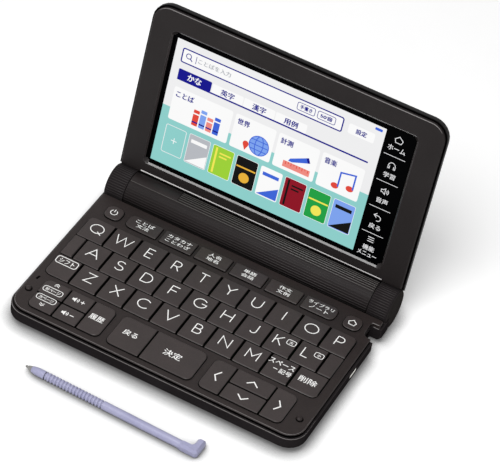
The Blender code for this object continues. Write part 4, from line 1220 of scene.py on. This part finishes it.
# Small fittings on the base
bumperLook = {"places": ((-69.7, 13.0), (67.9, 11.7)), "radius": 1.35, "rise": 0.85, "sides": 24,
              "turns": (0, 25, 45, 65, 82), "sink": 0.02, "paintedShadow": 1.75, "paintedShadowShift": (0.22, -0.22)}
slotLook = {"path": [(-69.9, 19.9), (-69.35, 22.2)], "width": 1.0, "root": 0.05, "proud": 0.012}
screwLook = {"places": ((-71.4, 10.0), (71.4, 10.0)), "radius": 1.25, "sides": 24,
             "rings": ((0.0, 0.05), (0.0, -0.11), (0.25, -0.22), (0.8, -0.22), (0.95, -0.02))}


def buildFittings():
    look = bumperLook
    root, top = deck["top"] - slotLook["root"], deck["top"] + slotLook["proud"]
    for side, (x, y) in zip(("left", "right"), look["places"]):
        solid = ([], [])
        rings = []
        for turn in (math.radians(a) for a in look["turns"]):
            reach = look["radius"] * math.cos(turn)
            level = deck["top"] - look["sink"] + look["rise"] * math.sin(turn)
            rings.append([deckPlace(px, py, level) for px, py in disc(x, y, reach, reach, look["sides"])])
        addLoft(solid, rings)
        # a dark disc set off towards the front right under each bumper: a painted shadow
        across, along = look["paintedShadowShift"]
        paintedShadow = disc(x + across, y + along, look["paintedShadow"], look["paintedShadow"], look["sides"])
        addPlate(solid, paintedShadow, root, top, deckPlace, 1)
        makePiece("lid_bumper_" + side, solid, "base", [plastics["mouldedAbsDeck"], darkRecess], smooth=50)
    # the microphone slot is a black strip on the deck: painted shade where the opening is
    solid = ([], [])
    addRibbon(solid, slotLook["path"], slotLook["width"], root, top, deckPlace)
    makePiece("microphone_slot", solid, "base", [darkRecess])
    look = screwLook
    for i, (x, y) in enumerate(look["places"]):
        solid = ([], [])
        outer = disc(x, y, look["radius"], look["radius"], look["sides"])
        addLoft(solid, [[deckPlace(px, py, level) for px, py in inset(outer, cut)]
                        for cut, level in look["rings"]])
        makePiece(f"case_screw_{i + 1}", solid, "base", [polished["nickelPlatedSteel"]], smooth=40)


portLook = {"across": 11.9, "level": 2.9, "halfWidth": 3.2, "halfHeight": 0.95, "wall": 0.34, "mouth": 73.7,
            "depth": 1.7, "lip": 0.04, "roundness": 0.8, "tongueWidth": 2.6, "tongueHeight": 0.35,
            "tongueCorner": 0.1, "tongueBack": 0.9}


def buildPort():
    # the shell and tongue of the charging socket, in the right wall
    look = portLook
    across, level, mouth, wall = look["across"], look["level"], look["mouth"], look["wall"]
    inner = mouth - look["depth"]

    def place(y, z, x):
        return (x, y, z)

    def shell(cut):
        wide, tall = look["halfWidth"] - cut, look["halfHeight"] - cut
        corner = look["halfHeight"] * look["roundness"] - cut
        return rounded(across - wide, across + wide, level - tall, level + tall, corner)
    solid = ([], [])
    rings = []
    for cut, x in ((0.0, inner), (0.0, mouth), (look["lip"], mouth), (wall, mouth - wall), (wall, inner)):
        rings.append([place(y, z, x) for y, z in shell(cut)])
    addLoft(solid, rings, looped=True)
    wide, tall = look["tongueWidth"], look["tongueHeight"]
    tongue = rounded(across - wide, across + wide, level - tall, level + tall, look["tongueCorner"])
    addPlate(solid, tongue, inner, mouth - look["tongueBack"], place, 1)
    surfaces = [polished["nickelPlatedSteel"], darkRecess]
    piece = makePiece("charging_socket", solid, "base", surfaces, smooth=40)


doorLook = {"first": 202.0, "last": 222.0, "count": 6, "half": 9.0, "width": 2.2, "crest": 1.0, "proud": 0.1,
            "arrowAngle": 187.0, "arrow": [(-2.2, -1.0), (0, 1.2), (2.2, -1.0)], "arrowWidth": 0.5}


def buildDoorGrip():
    # finger ridges and a push arrow on the cell door
    look = doorLook
    solid = ([], [])
    for i in range(look["count"]):
        angle = look["first"] + (look["last"] - look["first"]) * i / (look["count"] - 1)
        addRib(solid, -look["half"], look["half"], angle, look)

    def place(x, up, rise):
        return barrelPlace(x, look["arrowAngle"] - math.degrees(up / hinge["radius"]), hinge["radius"] + rise)
    addRibbon(solid, look["arrow"], look["arrowWidth"], -ribLook["root"], look["proud"], place)
    makePiece("battery_door_grip", solid, "battery_door", [plastics["mouldedAbsRibs"]], smooth=40)


# Stylus: one lilac moulding with a grey tip, a ridged grip and a hooked head. Profiles are distance from
# the tip and radius, and the head's outline is drawn along and across the pen
penLook = {"tip": (-49.9, -63.0), "level": -0.19, "turn": -1.5, "sides": 28, "radius": 2.02, "bodyEnd": 80.5,
           "ridgesFrom": 11.3, "ridgesTo": 41.0, "ridges": 18, "ridgeDepth": 0.36,
           "tipProfile": ((0.0, 0.32), (0.25, 0.5), (0.7, 0.55), (1.3, 0.62), (1.5, 0.85), (3.3, 1.32)),
           "nose": ((3.3, 1.30), (3.45, 1.45), (5.2, 1.80), (6.8, 1.95), (10.05, 1.98), (10.15, 1.50),
                    (10.6, 1.50), (10.7, 2.02)),
           "head": [(78.3, -1.7), (80.2, -2.0), (86.9, -2.0), (87.95, -1.1), (87.95, 6.3), (87.1, 7.15),
                    (85.0, 7.15), (84.1, 6.3), (84.1, 3.0), (83.3, 2.1), (80.2, 2.1), (78.3, 1.7)],
           "ridgeParts": ((0.0, "low"), (0.18, "low"), (0.36, "full"), (0.82, "full")), "ridgesRun": 0.1,
           "headRings": ((0.7, -2.1), (0.0, -1.4), (0.0, 0.9), (0.95, 2.1))}


def penPlace(u, v, w):
    turn = math.radians(penLook["turn"])
    x, y = penLook["tip"]
    return (x + u * math.cos(turn) - v * math.sin(turn), y + u * math.sin(turn) + v * math.cos(turn),
            penLook["level"] + w)


def penRing(u, radius):
    turns = [2 * math.pi * i / penLook["sides"] for i in range(penLook["sides"])]
    return [penPlace(u, radius * math.cos(a), radius * math.sin(a)) for a in turns]


def buildPen():
    look = penLook
    solid = ([], [])
    addLoft(solid, [penRing(u, radius) for u, radius in look["tipProfile"]], 1)
    step = (look["ridgesTo"] - look["ridgesFrom"]) / look["ridges"]
    radii = {"full": look["radius"], "low": look["radius"] - look["ridgeDepth"]}
    body = list(look["nose"])
    for i in range(look["ridges"]):
        start = look["ridgesFrom"] + i * step
        body += [(start + part * step, radii[word]) for part, word in look["ridgeParts"]]
    body += [(look["ridgesTo"] + look["ridgesRun"], radii["full"]), (look["bodyEnd"], radii["full"])]
    addLoft(solid, [penRing(u, radius) for u, radius in body])
    addLoft(solid, [[penPlace(u, v, w) for u, v in inset(look["head"], cut)] for cut, w in look["headRings"]])
    surfaces = [plastics["mouldedAbsLilac"], plastics["mouldedAcetalTip"]]
    piece = makePiece("stylus_body", solid, "stylus", surfaces, smooth=38)
    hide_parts("stylus")


for build in (buildRibs, buildPlate, buildCaps, buildLidTrim, buildEdgeLines, buildBlanks, buildFittings,
              buildPort, buildDoorGrip, buildPen):
    build()
print("fittings and stylus built")
